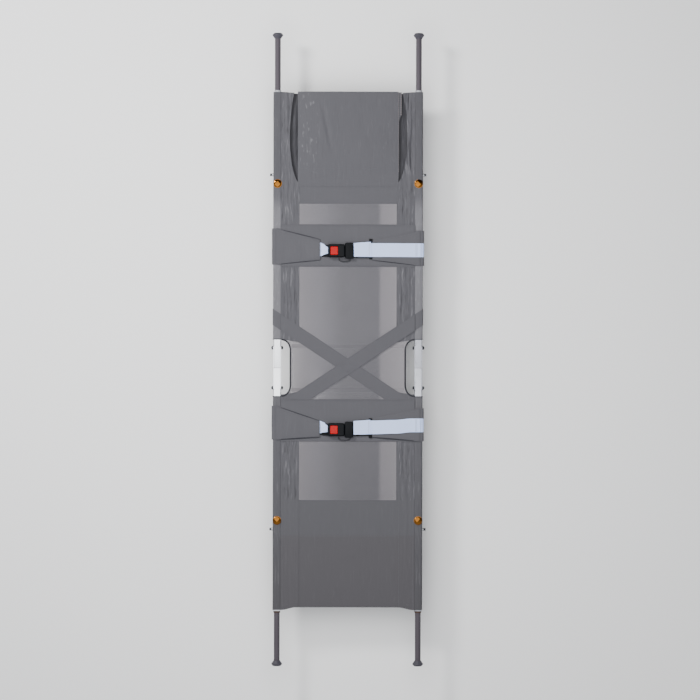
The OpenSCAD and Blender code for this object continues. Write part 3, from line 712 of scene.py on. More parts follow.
def strip_shift(x, y):
    """Slant of the strips' ends beside the handholds, and the bow of the hems."""
    slant = (abs(x) - POCKET_X) / (BED_X - POCKET_X)
    head = 8 * MM * max(0, 1 - (y - GUSSET_HEAD) / (60 * MM)) if y >= GUSSET_HEAD else 0
    foot = 9 * MM * max(0, 1 - (GUSSET_FOOT - y) / (60 * MM)) if y <= GUSSET_FOOT else 0
    return slant * (head - foot) + hem_shift(x, y)


def bed_strips():
    """Opaque wrinkled strips between the sleeves and the middle panel."""
    for zone, (low, high) in (("head", (GUSSET_HEAD, HEAD_END)), ("foot", (FOOT_END, GUSSET_FOOT))):
        for name, side in SIDES.items():
            def edges(y, side=side):
                inner = side * slit_reach(side, y)
                return min(inner, side * BED_LAP), max(inner, side * BED_LAP)
            kind = "strip" if zone == "head" else "cover"
            rows = spread(low, *([MESH_FOOT] if zone == "foot" else []), high, step=5 * MM)
            piece = draped(f"bed_strip_{zone}_{name}", rows, spread(0.0, 1.0, step=0.04), edges,
                           strip_height(side), CLOTH, (kind, "strip"),
                           lambda _, y: 1 if y > MESH_FOOT else 0, strip_shift)
            gather(piece, f"{zone}_left")


def pocket_lining():
    """Folds that show through the slits beside the pocket, set low under the bed and dyed dark as painted
    shade.
    """
    def height(x, y):
        folds = 3.5 * MM * ripple(x / (9 * MM), y / (60 * MM), 4.4)
        side = ease(abs(x), POCKET_X - 20 * MM, POCKET_X)
        return BED_Z - 9 * MM + folds * side
    def edges(y):
        return -slit_reach(LEFT, y) - 8 * MM, slit_reach(RIGHT, y) + 8 * MM
    rows = spread(SLIT_FOOT - 6 * MM, HEAD_END - 2 * MM, step=9 * MM)
    cols = spread(0.0, 0.14, step=0.008)[:-1] + spread(0.14, 0.86, 1.0, step=0.012)
    piece = draped("pocket_lining", rows, cols, edges, height, CLOTH, ("folds",), shift=hem_shift)
    gather(piece, "head_left")


def fold_lips():
    """Short curved ends of the middle stretch that keep the bed closed as the length folds."""
    radius = BED_Z - POLE_Z - 1.6 * MM
    for name, pivot, away in (("head", HEAD_PIVOT, 1), ("foot", FOOT_PIVOT, -1)):
        def point(u, v, pivot=pivot, away=away):
            normal = Vector((0, away * math.sin(v), math.cos(v)))
            x = -HOLE_X + u * 2 * HOLE_X
            drop = bed_height(x, pivot) - BED_Z
            return Vector((x, pivot, POLE_Z + drop)) + normal * radius, normal
        lip = slab("fold_lip_" + name, spread(0.0, math.radians(88), step=0.15),
                   spread(0.01, 0.99, step=0.04), point, CLOTH, ("backing",),
                   lambda u, v, pivot=pivot: ((2 * u - 1) * HOLE_X, pivot + v * radius))
        gather(lip, "hinge_left")


# Radius of the corners of the cloth round the poles, and of the tape that binds it
SLEEVE_ROUND, TAPE_ROUND = 5.4 * MM, 6 * MM


def sleeve_ring(half, corner):
    """Outline of a rounded square, as (x, z, normal x, normal z, length so far)."""
    ring, travelled, steps = [], 0.0, 5
    for quarter in range(4):
        for step in range(steps + 1):
            turn = math.radians(90 * quarter + 90 * step / steps)
            centre = [(1, 1), (-1, 1), (-1, -1), (1, -1)][quarter]
            nx, nz = math.cos(turn), math.sin(turn)
            x = centre[0] * (half - corner) + corner * nx
            z = centre[1] * (half - corner) + corner * nz
            if ring:
                travelled += math.hypot(x - ring[-1][0], z - ring[-1][1])
            ring.append((x, z, nx, nz, travelled))
    return ring


def tube_cloth(name, x0, low, high, half, finish, body, relief, ends=None, step=10 * MM):
    """Cloth tube round a pole; relief(share round it, y) lifts it, ends(x, row) slants its two ends."""
    ring = sleeve_ring(half, SLEEVE_ROUND)
    around = len(ring)
    rows = spread(0.0, 1.0, step=step / (high - low))
    tops, lows, maps = [], [], []
    for v in rows:
        for k, (x, z, nx, nz, travelled) in enumerate(ring):
            y = low + v * (high - low) + (ends(x, v) if ends else 0.0)
            lift = relief(k / around, y)
            for store, out in ((tops, CLOTH / 2 + lift), (lows, -CLOTH / 2 + lift * 0.5)):
                store.append((x0 + x + nx * out, y, POLE_Z + z + nz * out))
            maps.append((travelled, y))
    count = len(tops)
    pairs = [(j * around + i, j * around + (i + 1) % around) for j in range(len(rows)) for i in range(around)]
    walls = pairs[:-around]
    faces = [(a, b, b + around, a + around) for a, b in walls]
    faces += [(a + count, a + around + count, b + around + count, b + count) for a, b in walls]
    faces += [(a, b, b + count, a + count) for a, b in pairs[:around] + pairs[-around:]]
    mesh = cloth_mesh(name, tops, lows, faces, maps)
    fix_sides(mesh)
    piece = new_piece(name, mesh, finish)
    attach(piece, body)
    return piece


# The crossed straps: their slant, half width and thickness, and where they cross and reach the poles
STRAP_ANGLE = math.radians(33.5)
STRAP_HALF, STRAP_THICK = 24.5 * MM, 1.4 * MM
STRAP_CROSS = FOLD + 4.5 * MM
STRAP_AT = STRAP_CROSS + POLE_X * math.tan(STRAP_ANGLE)


def sleeves():
    """Four sleeves with soft long wrinkles, each bound with dark tape at its handhold."""
    inner = POLE_HALF + 0.1 * MM + CLOTH / 2
    for end in ("head", "foot"):
        for side, sign in SIDES.items():
            node = f"sleeve_{end}_{side}"
            low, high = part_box(node)
            top = HEAD_END if end == "head" else high.y
            def soft(share, y, sign=sign):
                facing = abs(math.sin(2 * math.pi * share))
                return 0.7 * MM * max(ripple(share * 9, y / (90 * MM), 2.2 + sign), 0) * (0.4 + 0.6 * facing)
            body = f"{end}_{side}"
            piece = tube_cloth(node + "_cloth", sign * POLE_X, low.y, top, inner, "sleeve", body, soft)
            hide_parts(node)
            tape_half = 1.5 * MM
            y = low.y + tape_half if end == "head" else high.y - tape_half
            ring = [Vector((sign * POLE_X + x, y, POLE_Z + z))
                    for x, z, *_ in sleeve_ring(inner + 0.9 * MM, TAPE_ROUND)]
            tape = tube_along(f"sleeve_binding_{body}", ring, tape_half, "binding", closed=True)
            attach(tape, body)


def cover_wraps():
    """The parts of the belt covers that go round the poles."""
    outer = POLE_HALF + 1.0 * MM + CLOTH * 1.5
    for belt, end in BELTS.items():
        for side, sign in SIDES.items():
            top, low = (belt_middle(belt) + offset for offset in COVER_ROOT[belt, side])
            def soft(share, y, sign=sign):
                sideways = max(0, sign * math.cos(2 * math.pi * (share - 0.03)))
                return 2.4 * MM * sideways + 0.8 * MM * max(ripple(share * 6, y / (40 * MM), 4.2 + sign), 0)
            tube_cloth(f"belt_cover_wrap_{belt}_{side}", sign * POLE_X, low, top, outer, "cover",
                       f"{end}_{side}", soft, step=6 * MM)


def strap_wraps():
    """The cross straps' upper ends, round the poles on a slant."""
    outer = POLE_HALF + 0.4 * MM + CLOTH * 1.5
    half = STRAP_HALF / math.cos(STRAP_ANGLE)
    for side, sign in SIDES.items():
        tube_cloth(f"strap_wrap_{side}", sign * POLE_X, STRAP_AT - half, STRAP_AT + half, outer, "strap",
                   f"head_{side}", lambda share, y: 0.0,
                   ends=lambda x, v, sign=sign: sign * x * math.tan(STRAP_ANGLE), step=4 * MM)


def layer_height(base, over=0.0):
    """Surface over the bed's own sag, with small waves; over is how far its edges climb on to the poles."""
    def height(x, y):
        flat = 1 - min(1, (x / BED_X) ** 2)
        climb = over * ease(abs(x), BED_X - 14 * MM, BED_X + 2 * MM)
        return base - SAG * flat + 0.6 * MM * flat * ripple(x * 14, y * 11, base * 1000) + climb
    return height


def cross_bands():
    """Wide bands under the belts, sewn on over the strips."""
    for node, end in (("band_chest", "head"), ("band_leg", "foot")):
        low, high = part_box(node)
        middle = (low.y + high.y) / 2
        base = layer_height(BAND_Z + 1.6 * MM)
        def height(x, y, base=base, middle=middle):
            creases = 1.4 * MM * ripple(x * 6 + 2, (y - middle) * 26 + x * 5, 8.0)
            return base(x, y) + max(creases, -0.2 * MM) * (1 - min(1, abs(x / BED_X)) ** 6)
        piece = draped(node + "_cloth", spread(low.y, high.y, step=7 * MM), spread(0.0, 1.0, step=0.02),
                       lambda y: (-BED_LAP, BED_LAP), height, CLOTH, ("cover",))
        gather(piece, f"{end}_left")
        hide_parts(node)


def strap_edges(turn):
    """Left and right edge of a slanting strap at y, kept between the sleeves."""
    slope = math.tan(STRAP_ANGLE) * turn
    half = STRAP_HALF / math.sin(STRAP_ANGLE)
    def edges(y):
        middle = (y - STRAP_CROSS) / slope
        return max(middle - half, -BED_LAP), min(middle + half, BED_LAP)
    return edges


def cross_straps():
    """The two crossed straps, in three stretches, one strap over the other in the middle."""
    band_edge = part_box("band_leg")[1].y
    top = STRAP_AT - (POLE_X - BED_X) * math.tan(STRAP_ANGLE) + STRAP_HALF / math.cos(STRAP_ANGLE)
    zones = {"cross_straps_head": (HEAD_PIVOT + ZONE_GAP, top - 0.5 * MM),
             "cross_straps_middle": (FOOT_PIVOT + ZONE_GAP, HEAD_PIVOT - ZONE_GAP),
             "cross_straps_foot": (band_edge + 0.2 * MM, FOOT_PIVOT - ZONE_GAP)}
    for node, (low, high) in zones.items():
        made = []
        for turn in (-1, 1):
            base = layer_height(BAND_Z + 1.5 * MM + (turn + 1) * 0.8 * MM)
            def height(x, y, base=base):
                return base(x, y) - (BAND_Z - BED_Z) * 0.2
            rows = spread(low, high, step=4 * MM)
            made.append(draped(f"{node}_{'rising' if turn > 0 else 'falling'}", rows,
                               spread(0.0, 1.0, step=0.06), strap_edges(turn), height, STRAP_THICK,
                               ("strap",)))
        for piece in made:
            gather(piece, zone_body((low + high) / 2))
        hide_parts(node)


def pocket_height(x, y):
    """Pocket surface: a soft crown with one long crease, over the panel."""
    share_x, share_y = x / POCKET_X, (y - POCKET_FOOT) / (HEAD_END - POCKET_FOOT)
    rise = ease(share_y, 0.0, 0.45)
    crown = 6.0 * MM * (1 - abs(share_x) ** 3) * rise
    off = (x + 92 * MM + (HEAD_END - 45 * MM - y) * -0.19) / (5 * MM)
    crease = 4.0 * MM * math.exp(-off * off) * bulge(y, 700 * MM, 895 * MM)
    waves = 1.8 * MM * ripple(x * 9, y * 7, 6.3) + 0.7 * MM * ripple(x * 31, y * 24, 2.6)
    return bed_height(x, y) + 1.4 * MM + 3.0 * MM * rise + crown - crease + waves * rise


def pillow_pocket():
    """Pocket over the head end, open at both sides, with a pale tube of painted highlight along each side
    edge, and seams.
    """
    piece = draped("pillow_pocket_cloth", spread(POCKET_FOOT, HEAD_END + 1.0 * MM, step=6 * MM),
                   spread(0.0, 1.0, step=0.0166), lambda y: (-POCKET_X, POCKET_X), pocket_height, CLOTH,
                   ("pocket",))
    gather(piece, "head_left")
    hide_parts("pillow_pocket")
    # A pale tube along each side edge is a painted edge highlight.
    for name, side in SIDES.items():
        edge = [Vector((side * POCKET_X, y, pocket_height(side * POCKET_X, y)))
                for y in spread(SLIT_FOOT, HEAD_END, step=12 * MM)]
        gather(tube_along(f"pocket_edge_highlight_{name}", edge, 1.1 * MM, "thread"), "head_left")
    pocket_hem()
    seams = [seam_line(pocket_height, (-POCKET_X + SEAM_IN, y), (POCKET_X - SEAM_IN, y))
             for y in (POCKET_FOOT + SEAM_IN, POCKET_SEAM)]
    gather(sewn_lines("pocket_seams", seams), "head_left")


def pocket_hem():
    """Hem tape that hangs from the pocket's right-hand edge into the slit, with pale stitches.

    It widens near the head, and has a second line of stitches there.
    """
    def reach(y):
        return POCKET_X + 3 * MM + 9 * MM * ease(y, TAPE_STEP, TAPE_WIDE)
    def height(x, y):
        return pocket_height(POCKET_X, y) - 1.6 * MM - 0.25 * (x - POCKET_X)
    piece = draped("pocket_hem", spread(SLIT_FOOT + 20 * MM, HEAD_END - 1 * MM, step=9 * MM),
                   spread(0.0, 1.0, step=0.2), lambda y: (POCKET_X - 4 * MM, reach(y)), height, CLOTH,
                   ("cover",))
    gather(piece, "head_left")
    start, end = SLIT_FOOT + 45 * MM, HEAD_END - 6 * MM
    near, far = POCKET_X + 1.2 * MM, reach(end) - 2 * MM
    lines = [seam_line(height, (near, start), (near, end)),
             seam_line(height, (far, TAPE_WIDE - SEAM_IN), (far, end))]
    gather(sewn_lines("pocket_beads", lines, 8 * MM, 1.0 * MM, 5.5 * MM, "pale_thread"), "head_left")


def tube_along(name, points, radius, finish, closed=False, radii=None):
    """Round tube along a list of points, with closed ends; radii are shares of its radius."""
    curve = bpy.data.curves.new(name, "CURVE")
    curve.dimensions = "3D"
    curve.bevel_depth = radius
    curve.bevel_resolution = 2
    curve.use_fill_caps = True
    spline = curve.splines.new("POLY")
    spline.points.add(len(points) - 1)
    for spot, target in zip(points, spline.points):
        target.co = (*spot, 1)
    for share, target in zip(radii or (), spline.points):
        target.radius = share
    spline.use_cyclic_u = closed
    mesh = baked(in_scene(name, curve), name)
    mesh.materials.clear()
    for polygon in mesh.polygons:
        polygon.use_smooth = True
    return new_piece(name, mesh, finish)


def hole_outline():
    """Handhold edge from foot to head, as (distance from the middle, y)."""
    half = [(hole_edge(round_corner(turn)), round_corner(turn)) for turn in range(0, 91, 6)]
    lower = [(x, FOLD - away) for x, away in reversed(half)]
    middle = [(HOLE_X, y) for y in spread(lower[-1][1], 2 * FOLD - lower[-1][1], step=7 * MM)[1:-1]]
    return lower + middle + [(x, FOLD + away) for x, away in half]


def handhold_bindings():
    """Dark tape that binds the edge of each handhold, in one stretch a zone."""
    for side, sign in SIDES.items():
        outline = hole_outline()
        for zone, (low, high) in ZONES.items():
            inside = [(x, y) for x, y in outline if low <= y <= high]
            if low > outline[0][1]:
                inside.insert(0, (inside[0][0], low))
            if high < outline[-1][1]:
                inside.append((inside[-1][0], high))
            line = [Vector((sign * x, y, bed_height(x, y) + 0.4 * MM)) for x, y in inside]
            gather(tube_along(f"handhold_binding_{zone}_{side}", line, 2.9 * MM, "binding"),
                   zone_body((low + high) / 2))


# ---- stitches ----

def stitch_tree():
    """Geometry Nodes tree: a short thread on every point of a line, a Spacing apart."""
    tree = bpy.data.node_groups.new("Seam Stitches", "GeometryNodeTree")
    tree.interface.new_socket("Geometry", in_out="INPUT", socket_type="NodeSocketGeometry")
    for title in ("Spacing", "Length", "Radius"):
        tree.interface.new_socket(title, in_out="INPUT", socket_type="NodeSocketFloat")
    tree.interface.new_socket("Thread", in_out="INPUT", socket_type="NodeSocketMaterial")
    tree.interface.new_socket("Geometry", in_out="OUTPUT", socket_type="NodeSocketGeometry")
    given = tree.nodes.new("NodeGroupInput").outputs
    out = tree.nodes.new("NodeGroupOutput").inputs
    line = put(tree, "GeometryNodeMeshToCurve", {"Mesh": given["Geometry"]})
    dots = put(tree, "GeometryNodeCurveToPoints", {"Curve": line.outputs[0], "Length": given["Spacing"]},
               mode="LENGTH")
    thread = put(tree, "GeometryNodeMeshCylinder", {"Vertices": 6, "Radius": given["Radius"],
                                                    "Depth": given["Length"]})
    turned = put(tree, "FunctionNodeAlignRotationToVector", {"Vector": dots.outputs["Tangent"]}, axis="Z")
    sewn = put(tree, "GeometryNodeInstanceOnPoints",
               {"Points": dots.outputs["Points"], "Instance": thread.outputs["Mesh"],
                "Rotation": turned.outputs[0]})
    real = put(tree, "GeometryNodeRealizeInstances", {0: sewn.outputs[0]})
    done = put(tree, "GeometryNodeSetMaterial", {"Geometry": real.outputs[0], "Material": given["Thread"]})
    tree.links.new(done.outputs[0], out["Geometry"])
    return tree


STITCHES = stitch_tree()


def sewn_lines(name, lines, spacing=4.2 * MM, radius=0.38 * MM, length=2.9 * MM, thread="thread"):
    """Stitches along lists of points, as one plain mesh."""
    points, edges = [], []
    for line in lines:
        edges += [(len(points) + i, len(points) + i + 1) for i in range(len(line) - 1)]
        points += [tuple(p) for p in line]
    guide = bpy.data.meshes.new(name + "_guide")
    guide.from_pydata(points, edges, [])
    holder = in_scene(name + "_guide", guide)
    modifier = holder.modifiers.new("Stitches", "NODES")
    modifier.node_group = STITCHES
    values = {"Spacing": spacing, "Length": length, "Radius": radius, "Thread": FINISH[thread]}
    for item in STITCHES.interface.items_tree:
        if item.in_out == "INPUT" and item.name in values:
            modifier[item.identifier] = values[item.name]
    return in_scene(name, baked(holder, name))


def seam_line(height, start, end, shift=None):
    """Points a little above a surface, from one (x, y) to another."""
    step, lift = 12 * MM, 0.7 * MM
    (xa, ya), (xb, yb) = start, end
    count = max(1, math.ceil(math.hypot(xb - xa, yb - ya) / step))
    line = []
    for i in range(count + 1):
        x, y = xa + (xb - xa) * i / count, ya + (yb - ya) * i / count
        y += shift(x, y) if shift else 0.0
        line.append(Vector((x, y, height(x, y) + lift)))
    return line


def bed_seams():
    """Seams along the strips and hems, one piece a zone."""
    for zone, (start, end) in (("head", (GUSSET_HEAD + 8 * MM, HEAD_END - 3 * MM)),
                               ("foot", (FOOT_END + 3 * MM, GUSSET_FOOT - 8 * MM))):
        lines = []
        hem, inward = (HEAD_END, -1) if zone == "head" else (FOOT_END, 1)
        top = SLIT_FOOT if zone == "head" else end
        for side in (LEFT, RIGHT):
            height = strip_height(side)
            for x, y in ((POCKET_X + SEAM_IN, top), (BED_X - SEAM_IN, end)):
                lines.append(seam_line(height, (side * x, start), (side * x, y), hem_shift))
            inner = side * (POCKET_X + 34 * MM)
            for y in (hem + inward * SEAM_IN, hem + inward * HEM_WIDE):
                lines.append(seam_line(height, (inner, y), (side * BED_X, y), hem_shift))
        ends = [MESH_HEAD + SEAM_IN] if zone == "head" else [MESH_FOOT - SEAM_IN, APRON, FOOT_END + SEAM_IN]
        lines += [seam_line(bed_height, (-POCKET_X, y), (POCKET_X, y), hem_shift) for y in ends]
        gather(sewn_lines(f"bed_seams_{zone}", lines), f"{zone}_left")


def band_seams():
    """Seams along both edges of the bands."""
    for node, end in (("band_chest", "head"), ("band_leg", "foot")):
        low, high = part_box(node)
        height = layer_height(BAND_Z + 2.2 * MM)
        lines = [seam_line(height, (-BED_X, y), (BED_X, y)) for y in (low.y + 5 * MM, high.y - 5 * MM)]
        gather(sewn_lines(node + "_seams", lines), f"{end}_left")


def strap_seams():
    """Box stitch where the straps cross, a share of their half width from their middles."""
    height, share = layer_height(BAND_Z + 3.7 * MM), 0.62
    reach = STRAP_HALF / math.sin(STRAP_ANGLE) * share
    rise = STRAP_HALF / math.cos(STRAP_ANGLE) * share
    corners = [(-reach, STRAP_CROSS), (0, STRAP_CROSS + rise), (reach, STRAP_CROSS), (0, STRAP_CROSS - rise)]
    lines = [seam_line(height, a, b) for a, b in zip(corners, corners[1:] + corners[:1])]
    gather(sewn_lines("strap_box_stitch", lines), "hinge_left")


# ---- belts ----

# Each belt and the end of the stretcher that it is on
BELTS = {"chest": "head", "leg": "foot"}

# The covers: where their tips lie and where they end at the pole
TIP_X = {"left": 100.5 * MM, "right": 87 * MM}
COVER_END = POLE_X + 5 * MM

# Head and foot edges of the covers, from the belt's middle, at the pole and at the tip
COVER_ROOT = {("chest", "left"): (80 * MM, -49 * MM), ("chest", "right"): (73 * MM, -53 * MM),
              ("leg", "left"): (85 * MM, -36 * MM), ("leg", "right"): (77 * MM, -41 * MM)}
COVER_TIP = {("chest", "left"): (41 * MM, -33 * MM), ("chest", "right"): (37 * MM, -33 * MM),
             ("leg", "left"): (31 * MM, -27 * MM), ("leg", "right"): (41 * MM, -27 * MM)}

# Half the width of the webbing, and half the width of each belt's stub
WEBBING_HALF = 24.6 * MM
STUB_HALF = {"chest": WEBBING_HALF, "leg": 22.5 * MM}

# Level that the webbing's stations are measured from
STRAP_Z = WEBBING_Z + 3.0 * MM

# Where the strap's free end folds over the bar, where its way to the pole turns, and the bar's two ends
BAR_X, MIDWAY_X = 84 * MM, 170 * MM
BAR_ENDS = {"chest": (-30 * MM, 43 * MM), "leg": (-30 * MM, 41 * MM)}

# How far the webbing runs off the belt's middle: at the cover, the buckle, the tongue, the bar and the pole
STRAP_PATH = {"chest": (5 * MM, 1.5 * MM, 3 * MM, 3 * MM, 2.5 * MM),
              "leg": (9 * MM, 3.5 * MM, 7 * MM, 8.5 * MM, 16 * MM)}

# The dark loop at the buckle, painted shadow along its foot edge, as (x, distance from the belt's middle) in
# mm
SHADOW_LOOP_PATH = ((-33, -27), (-31, -34), (-24, -38), (-8, -39), (4, -37), (8, -33), (9, -27))

# How far the free end strays to the head at the bar, and the black strips of painted shadow to the foot
FREE_END_STRAY = {"chest": 4.5 * MM, "leg": 2.5 * MM}
SHADOW_STRIP_STRAY = {"chest": 3.5 * MM, "leg": 5 * MM}


def belt_middle(belt):
    """The y of a belt's buckle."""
    low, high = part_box("buckle_" + belt)
    return (low.y + high.y) / 2


def cover_surface(belt, side):
    """Surface of a tapering cover: u runs from its tip to the pole, v from its foot edge to its head edge."""
    sign, tip, middle = SIDES[side], TIP_X[side], belt_middle(belt)
    root, point = COVER_ROOT[belt, side], COVER_TIP[belt, side]
    base = layer_height(COVER_Z + 2.2 * MM, over=0.9 * MM)
    open_by = 5.5 * MM if side == "left" else 2.0 * MM
    def edges(u):
        return (middle + near + u * (far - near) for near, far in zip(point, root))
    def at(u, v):
        top, low = edges(u)
        return sign * (tip + u * (COVER_END - tip)), low + (v + 1) / 2 * (top - low)
    def height(x, y):
        u = (abs(x) - tip) / (COVER_END - tip)
        top, low = edges(u)
        round_over = max(1 - (2 * (y - low) / (top - low) - 1) ** 2, 0)
        mouth = open_by * (1 - ease(u, 0.0, 0.4)) * round_over ** 0.5
        puff = 2.2 * MM * bulge(u, 0.1, 0.9) * round_over
        folds = 1.0 * MM * ripple(x * 16, y * 20 + x * 6, 9.9) * (1 - ease(u, 0.8, 1.0))
        return base(x, y) + mouth + puff + folds
    return at, height


def belt_covers():
    """Tapering covers that carry the belt ends, folded over at the poles, with dark tubes of painted shadow
    along their edges, and seams.
    """
    for (belt, side), root in COVER_ROOT.items():
        at, height = cover_surface(belt, side)
        def point(u, v, at=at, height=height):
            x, y = at(u, v)
            return Vector((x, y, height(x, y))), seam_normal(height, x, y)
        piece = slab(f"belt_cover_{belt}_{side}", spread(-1.0, 1.0, step=0.08), spread(0.0, 1.0, step=0.04),
                     point, CLOTH * 1.3, ("cover",), at)
        gather(piece, f"{BELTS[belt]}_left")
        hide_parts("belt_covers_" + belt)
        # Dark tubes along the covers' edges are painted shadow, thickest along the leg belt's foot edges; the
        # right covers' head edges have none.
        for name, v in (("foot", -1.0), ("head", 1.0)):
            if (side, name) != ("right", "head"):
                share = spread(0.0, 0.88, step=0.04)
                radius = 2.4 * MM if (belt, name) == ("leg", "foot") else 1.7 * MM
                rim = tube_along(f"belt_cover_rim_{belt}_{side}_{name}", [point(u, v)[0] for u in share],
                                 radius, "binding", radii=[0.35 + 0.65 * bulge(u, -0.2, 1.0) for u in share])
                gather(rim, f"{BELTS[belt]}_left")
        lift = Vector((0, 0, 1.1 * MM))
        seams = [[point(u, v)[0] + lift for u in spread(0.02, 0.9, step=0.05)] for v in (-0.9, 0.9)]
        seams.append([point(0.04, v)[0] + lift for v in spread(-0.88, 0.88, step=0.1)])
        gather(sewn_lines(f"belt_cover_seams_{belt}_{side}", seams), f"{BELTS[belt]}_left")


def ribbon(name, stations, finish="webbing", thick=1.6 * MM):
    """Flat webbing through (x, y, z, half width) stations, with thinned edges."""
    lengths = [0.0]
    for a, b in zip(stations, stations[1:]):
        lengths.append(lengths[-1] + math.dist(a[:3], b[:3]))
    def between(u):
        i = min(int(u), len(stations) - 2)
        return i, u - i, stations[i], stations[i + 1]
    def point(u, v):
        i, f, a, b = between(u)
        along = (Vector(b[:3]) - Vector(a[:3])).normalized()
        across = Vector((-along.y, along.x, 0)).normalized()
        normal = along.cross(across).normalized()
        spot = Vector(a[:3]).lerp(Vector(b[:3]), f) + across * v * (a[3] + f * (b[3] - a[3]))
        return spot, normal * (1 - 0.55 * abs(v) ** 8)
    def chart(u, v):
        i, f, *_ = between(u)
        return lengths[i] + f * (lengths[i + 1] - lengths[i]), v * WEBBING_HALF
    return slab(name, spread(-1.0, -0.94, 0.94, 1.0, step=0.12), spread(0.0, len(stations) - 1.0, step=0.5),
                point, thick, (finish,), chart)


def smooth_stations(points):
    """Close stations along x, eased between the (x, y, z, half width) points."""
    made = []
    for a, b in zip(points, points[1:]):
        count = max(2, math.ceil(abs(b[0] - a[0]) / (8 * MM)))
        for i in range(count):
            share = i / count
            soft = ease(share, 0, 1)
            made.append((a[0] + share * (b[0] - a[0]), *(p + soft * (q - p) for p, q in zip(a[1:], b[1:]))))
    return made + [points[-1]]


def webbing_piece(name, body, points):
    """Length of belt webbing through the (x, y, z, half width) points."""
    piece = ribbon(name, smooth_stations(points))
    gather(piece, body)
    return piece


def belt_webbing():
    """Left stub that narrows into the buckle, and the long right strap with its doubled free end."""
    for belt, end in BELTS.items():
        body, middle = f"{end}_left", belt_middle(belt)
        at_cover, at_buckle, at_tongue, at_bar, at_pole = (middle + off for off in STRAP_PATH[belt])
        buckle_x, tongue_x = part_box("buckle_" + belt)[0].x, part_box("tongue_" + belt)[1].x
        z = STRAP_Z
        tip, wide = -TIP_X["left"], STUB_HALF[belt]
        stub = [(tip - 22 * MM, at_cover, z - 4.6 * MM, wide),
                (tip - 1 * MM, at_cover, z - 4.0 * MM, wide),
                (tip + 4 * MM, at_cover - 1 * MM, z - 3.0 * MM, wide - 1 * MM),
                (buckle_x - 2 * MM, at_buckle, z + 3.0 * MM, 12 * MM),
                (buckle_x + 4 * MM, at_buckle, z + 4.0 * MM, 11 * MM)]
        webbing_piece(f"belt_stub_{belt}", body, stub)
        wide = WEBBING_HALF
        strap = [(tongue_x + 1 * MM, at_tongue, z + 3.4 * MM, wide - 0.6 * MM),
                 (tongue_x + 32 * MM, at_tongue, z + 2.8 * MM, wide),
                 (BAR_X, at_bar, z + 2.6 * MM, wide),
                 (MIDWAY_X, 0.7 * at_bar + 0.3 * at_pole, z + 2.6 * MM, wide),
                 (BED_X - 8 * MM, at_pole, z + 1.6 * MM, wide),
                 (POLE_X + 7 * MM, at_pole, z + 2.4 * MM, wide)]
        long = webbing_piece(f"belt_strap_{belt}", body, strap)
        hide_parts("belt_webbing_" + belt)
        stray = FREE_END_STRAY[belt]
        doubled = [(tongue_x + 1.5 * MM, at_tongue, z + 5.4 * MM, wide),
                   (tongue_x + 32 * MM, at_tongue + 0.6 * stray, z + 4.8 * MM, wide + 0.2 * MM),
                   (BAR_X - 1 * MM, at_bar + stray, z + 4.6 * MM, wide)]
        webbing_piece(f"belt_free_end_{belt}", body, doubled)
        painted_shadow_strips(belt, body, (at_cover, middle, at_tongue, at_bar), (buckle_x, tongue_x))
        strap_fittings(belt, body, middle)


def painted_shadow_strips(belt, body, across, along):
    """Black strips under the stub and under the doubled strap, painted shadow that shows along their edges.
    """
    at_cover, middle, at_tongue, at_bar = across
    buckle_x, tongue_x = along
    tip, z, wide, narrow = -TIP_X["left"], STRAP_Z, WEBBING_HALF, 21.5 * MM
    stray = SHADOW_STRIP_STRAY[belt]
    paths = {"stub": [(tip + 1 * MM, at_cover - 2 * MM, z - 5.2 * MM, wide),
                      (tip + 15 * MM, middle, z - 2.6 * MM, narrow),
                      (buckle_x + 3 * MM, middle, z + 1.0 * MM, narrow)],
             "strap": [(tongue_x + 1 * MM, at_tongue - stray, z + 1.9 * MM, wide),
                       (BAR_X - 2 * MM, at_bar - stray, z + 1.2 * MM, wide)]}
    # Both strips are painted shadow: black ribbons a little lower than the webbing.
    for name, points in paths.items():
        piece = ribbon(f"belt_{name}_shadow_strip_{belt}", smooth_stations(points), "black", 1.0 * MM)
        gather(piece, body)


def strap_fittings(belt, body, middle):
    """Black bar that holds the free end, dark loop of painted shadow at the buckle and bar tacks sewn across
    the strap.
    """
    ends = [(BAR_X - 2 * MM, middle + end, STRAP_Z - 1.8 * MM, 6 * MM) for end in BAR_ENDS[belt]]
    gather(ribbon(f"belt_bar_{belt}", ends, "black", 3.0 * MM), body)
    loop = [Vector((x * MM, middle + y * MM, BAND_Z + 3 * MM)) for x, y in SHADOW_LOOP_PATH]
    gather(tube_along(f"belt_shadow_loop_{belt}", loop, 1.7 * MM, "folds"), body)
    *_, at_bar, at_pole = STRAP_PATH[belt]
    lines = []
    for x, y, up in ((BAR_X - 8 * MM, at_bar + 3 * MM, 5.6 * MM), (POLE_X - 6 * MM, at_pole, 3.1 * MM),
                     (POLE_X - 10 * MM, at_pole, 2.9 * MM)):
        lines.append([Vector((x, middle + y + v * WEBBING_HALF * 0.85, STRAP_Z + up))
                      for v in spread(-1.0, 1.0, step=0.1)])
    tacks = sewn_lines(f"belt_tacks_{belt}", lines, 2.6 * MM, 0.5 * MM, 2.2 * MM, "tack")
    gather(tacks, body)


def strap_ends():
    """The right straps' ends, turned down round the poles."""
    outer = POLE_HALF + 5.4 * MM
    top = POLE_Z + POLE_HALF + 6.6 * MM
    for belt, end in BELTS.items():
        middle = belt_middle(belt) + STRAP_PATH[belt][-1]
        path = [(POLE_X - 4 * MM, top), (POLE_X + 6 * MM, top - 0.2 * MM),
                (POLE_X + outer - 4.5 * MM, top - 1.4 * MM), (POLE_X + outer - 1 * MM, top - 5 * MM),
                (POLE_X + outer + 0.2 * MM, top - 12 * MM), (POLE_X + outer + 0.2 * MM, POLE_Z - 9 * MM)]
        piece = ribbon(f"belt_end_{belt}", [(x, middle, z, WEBBING_HALF) for x, z in path])
        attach(piece, f"{end}_right")


# ---- hard pieces ----

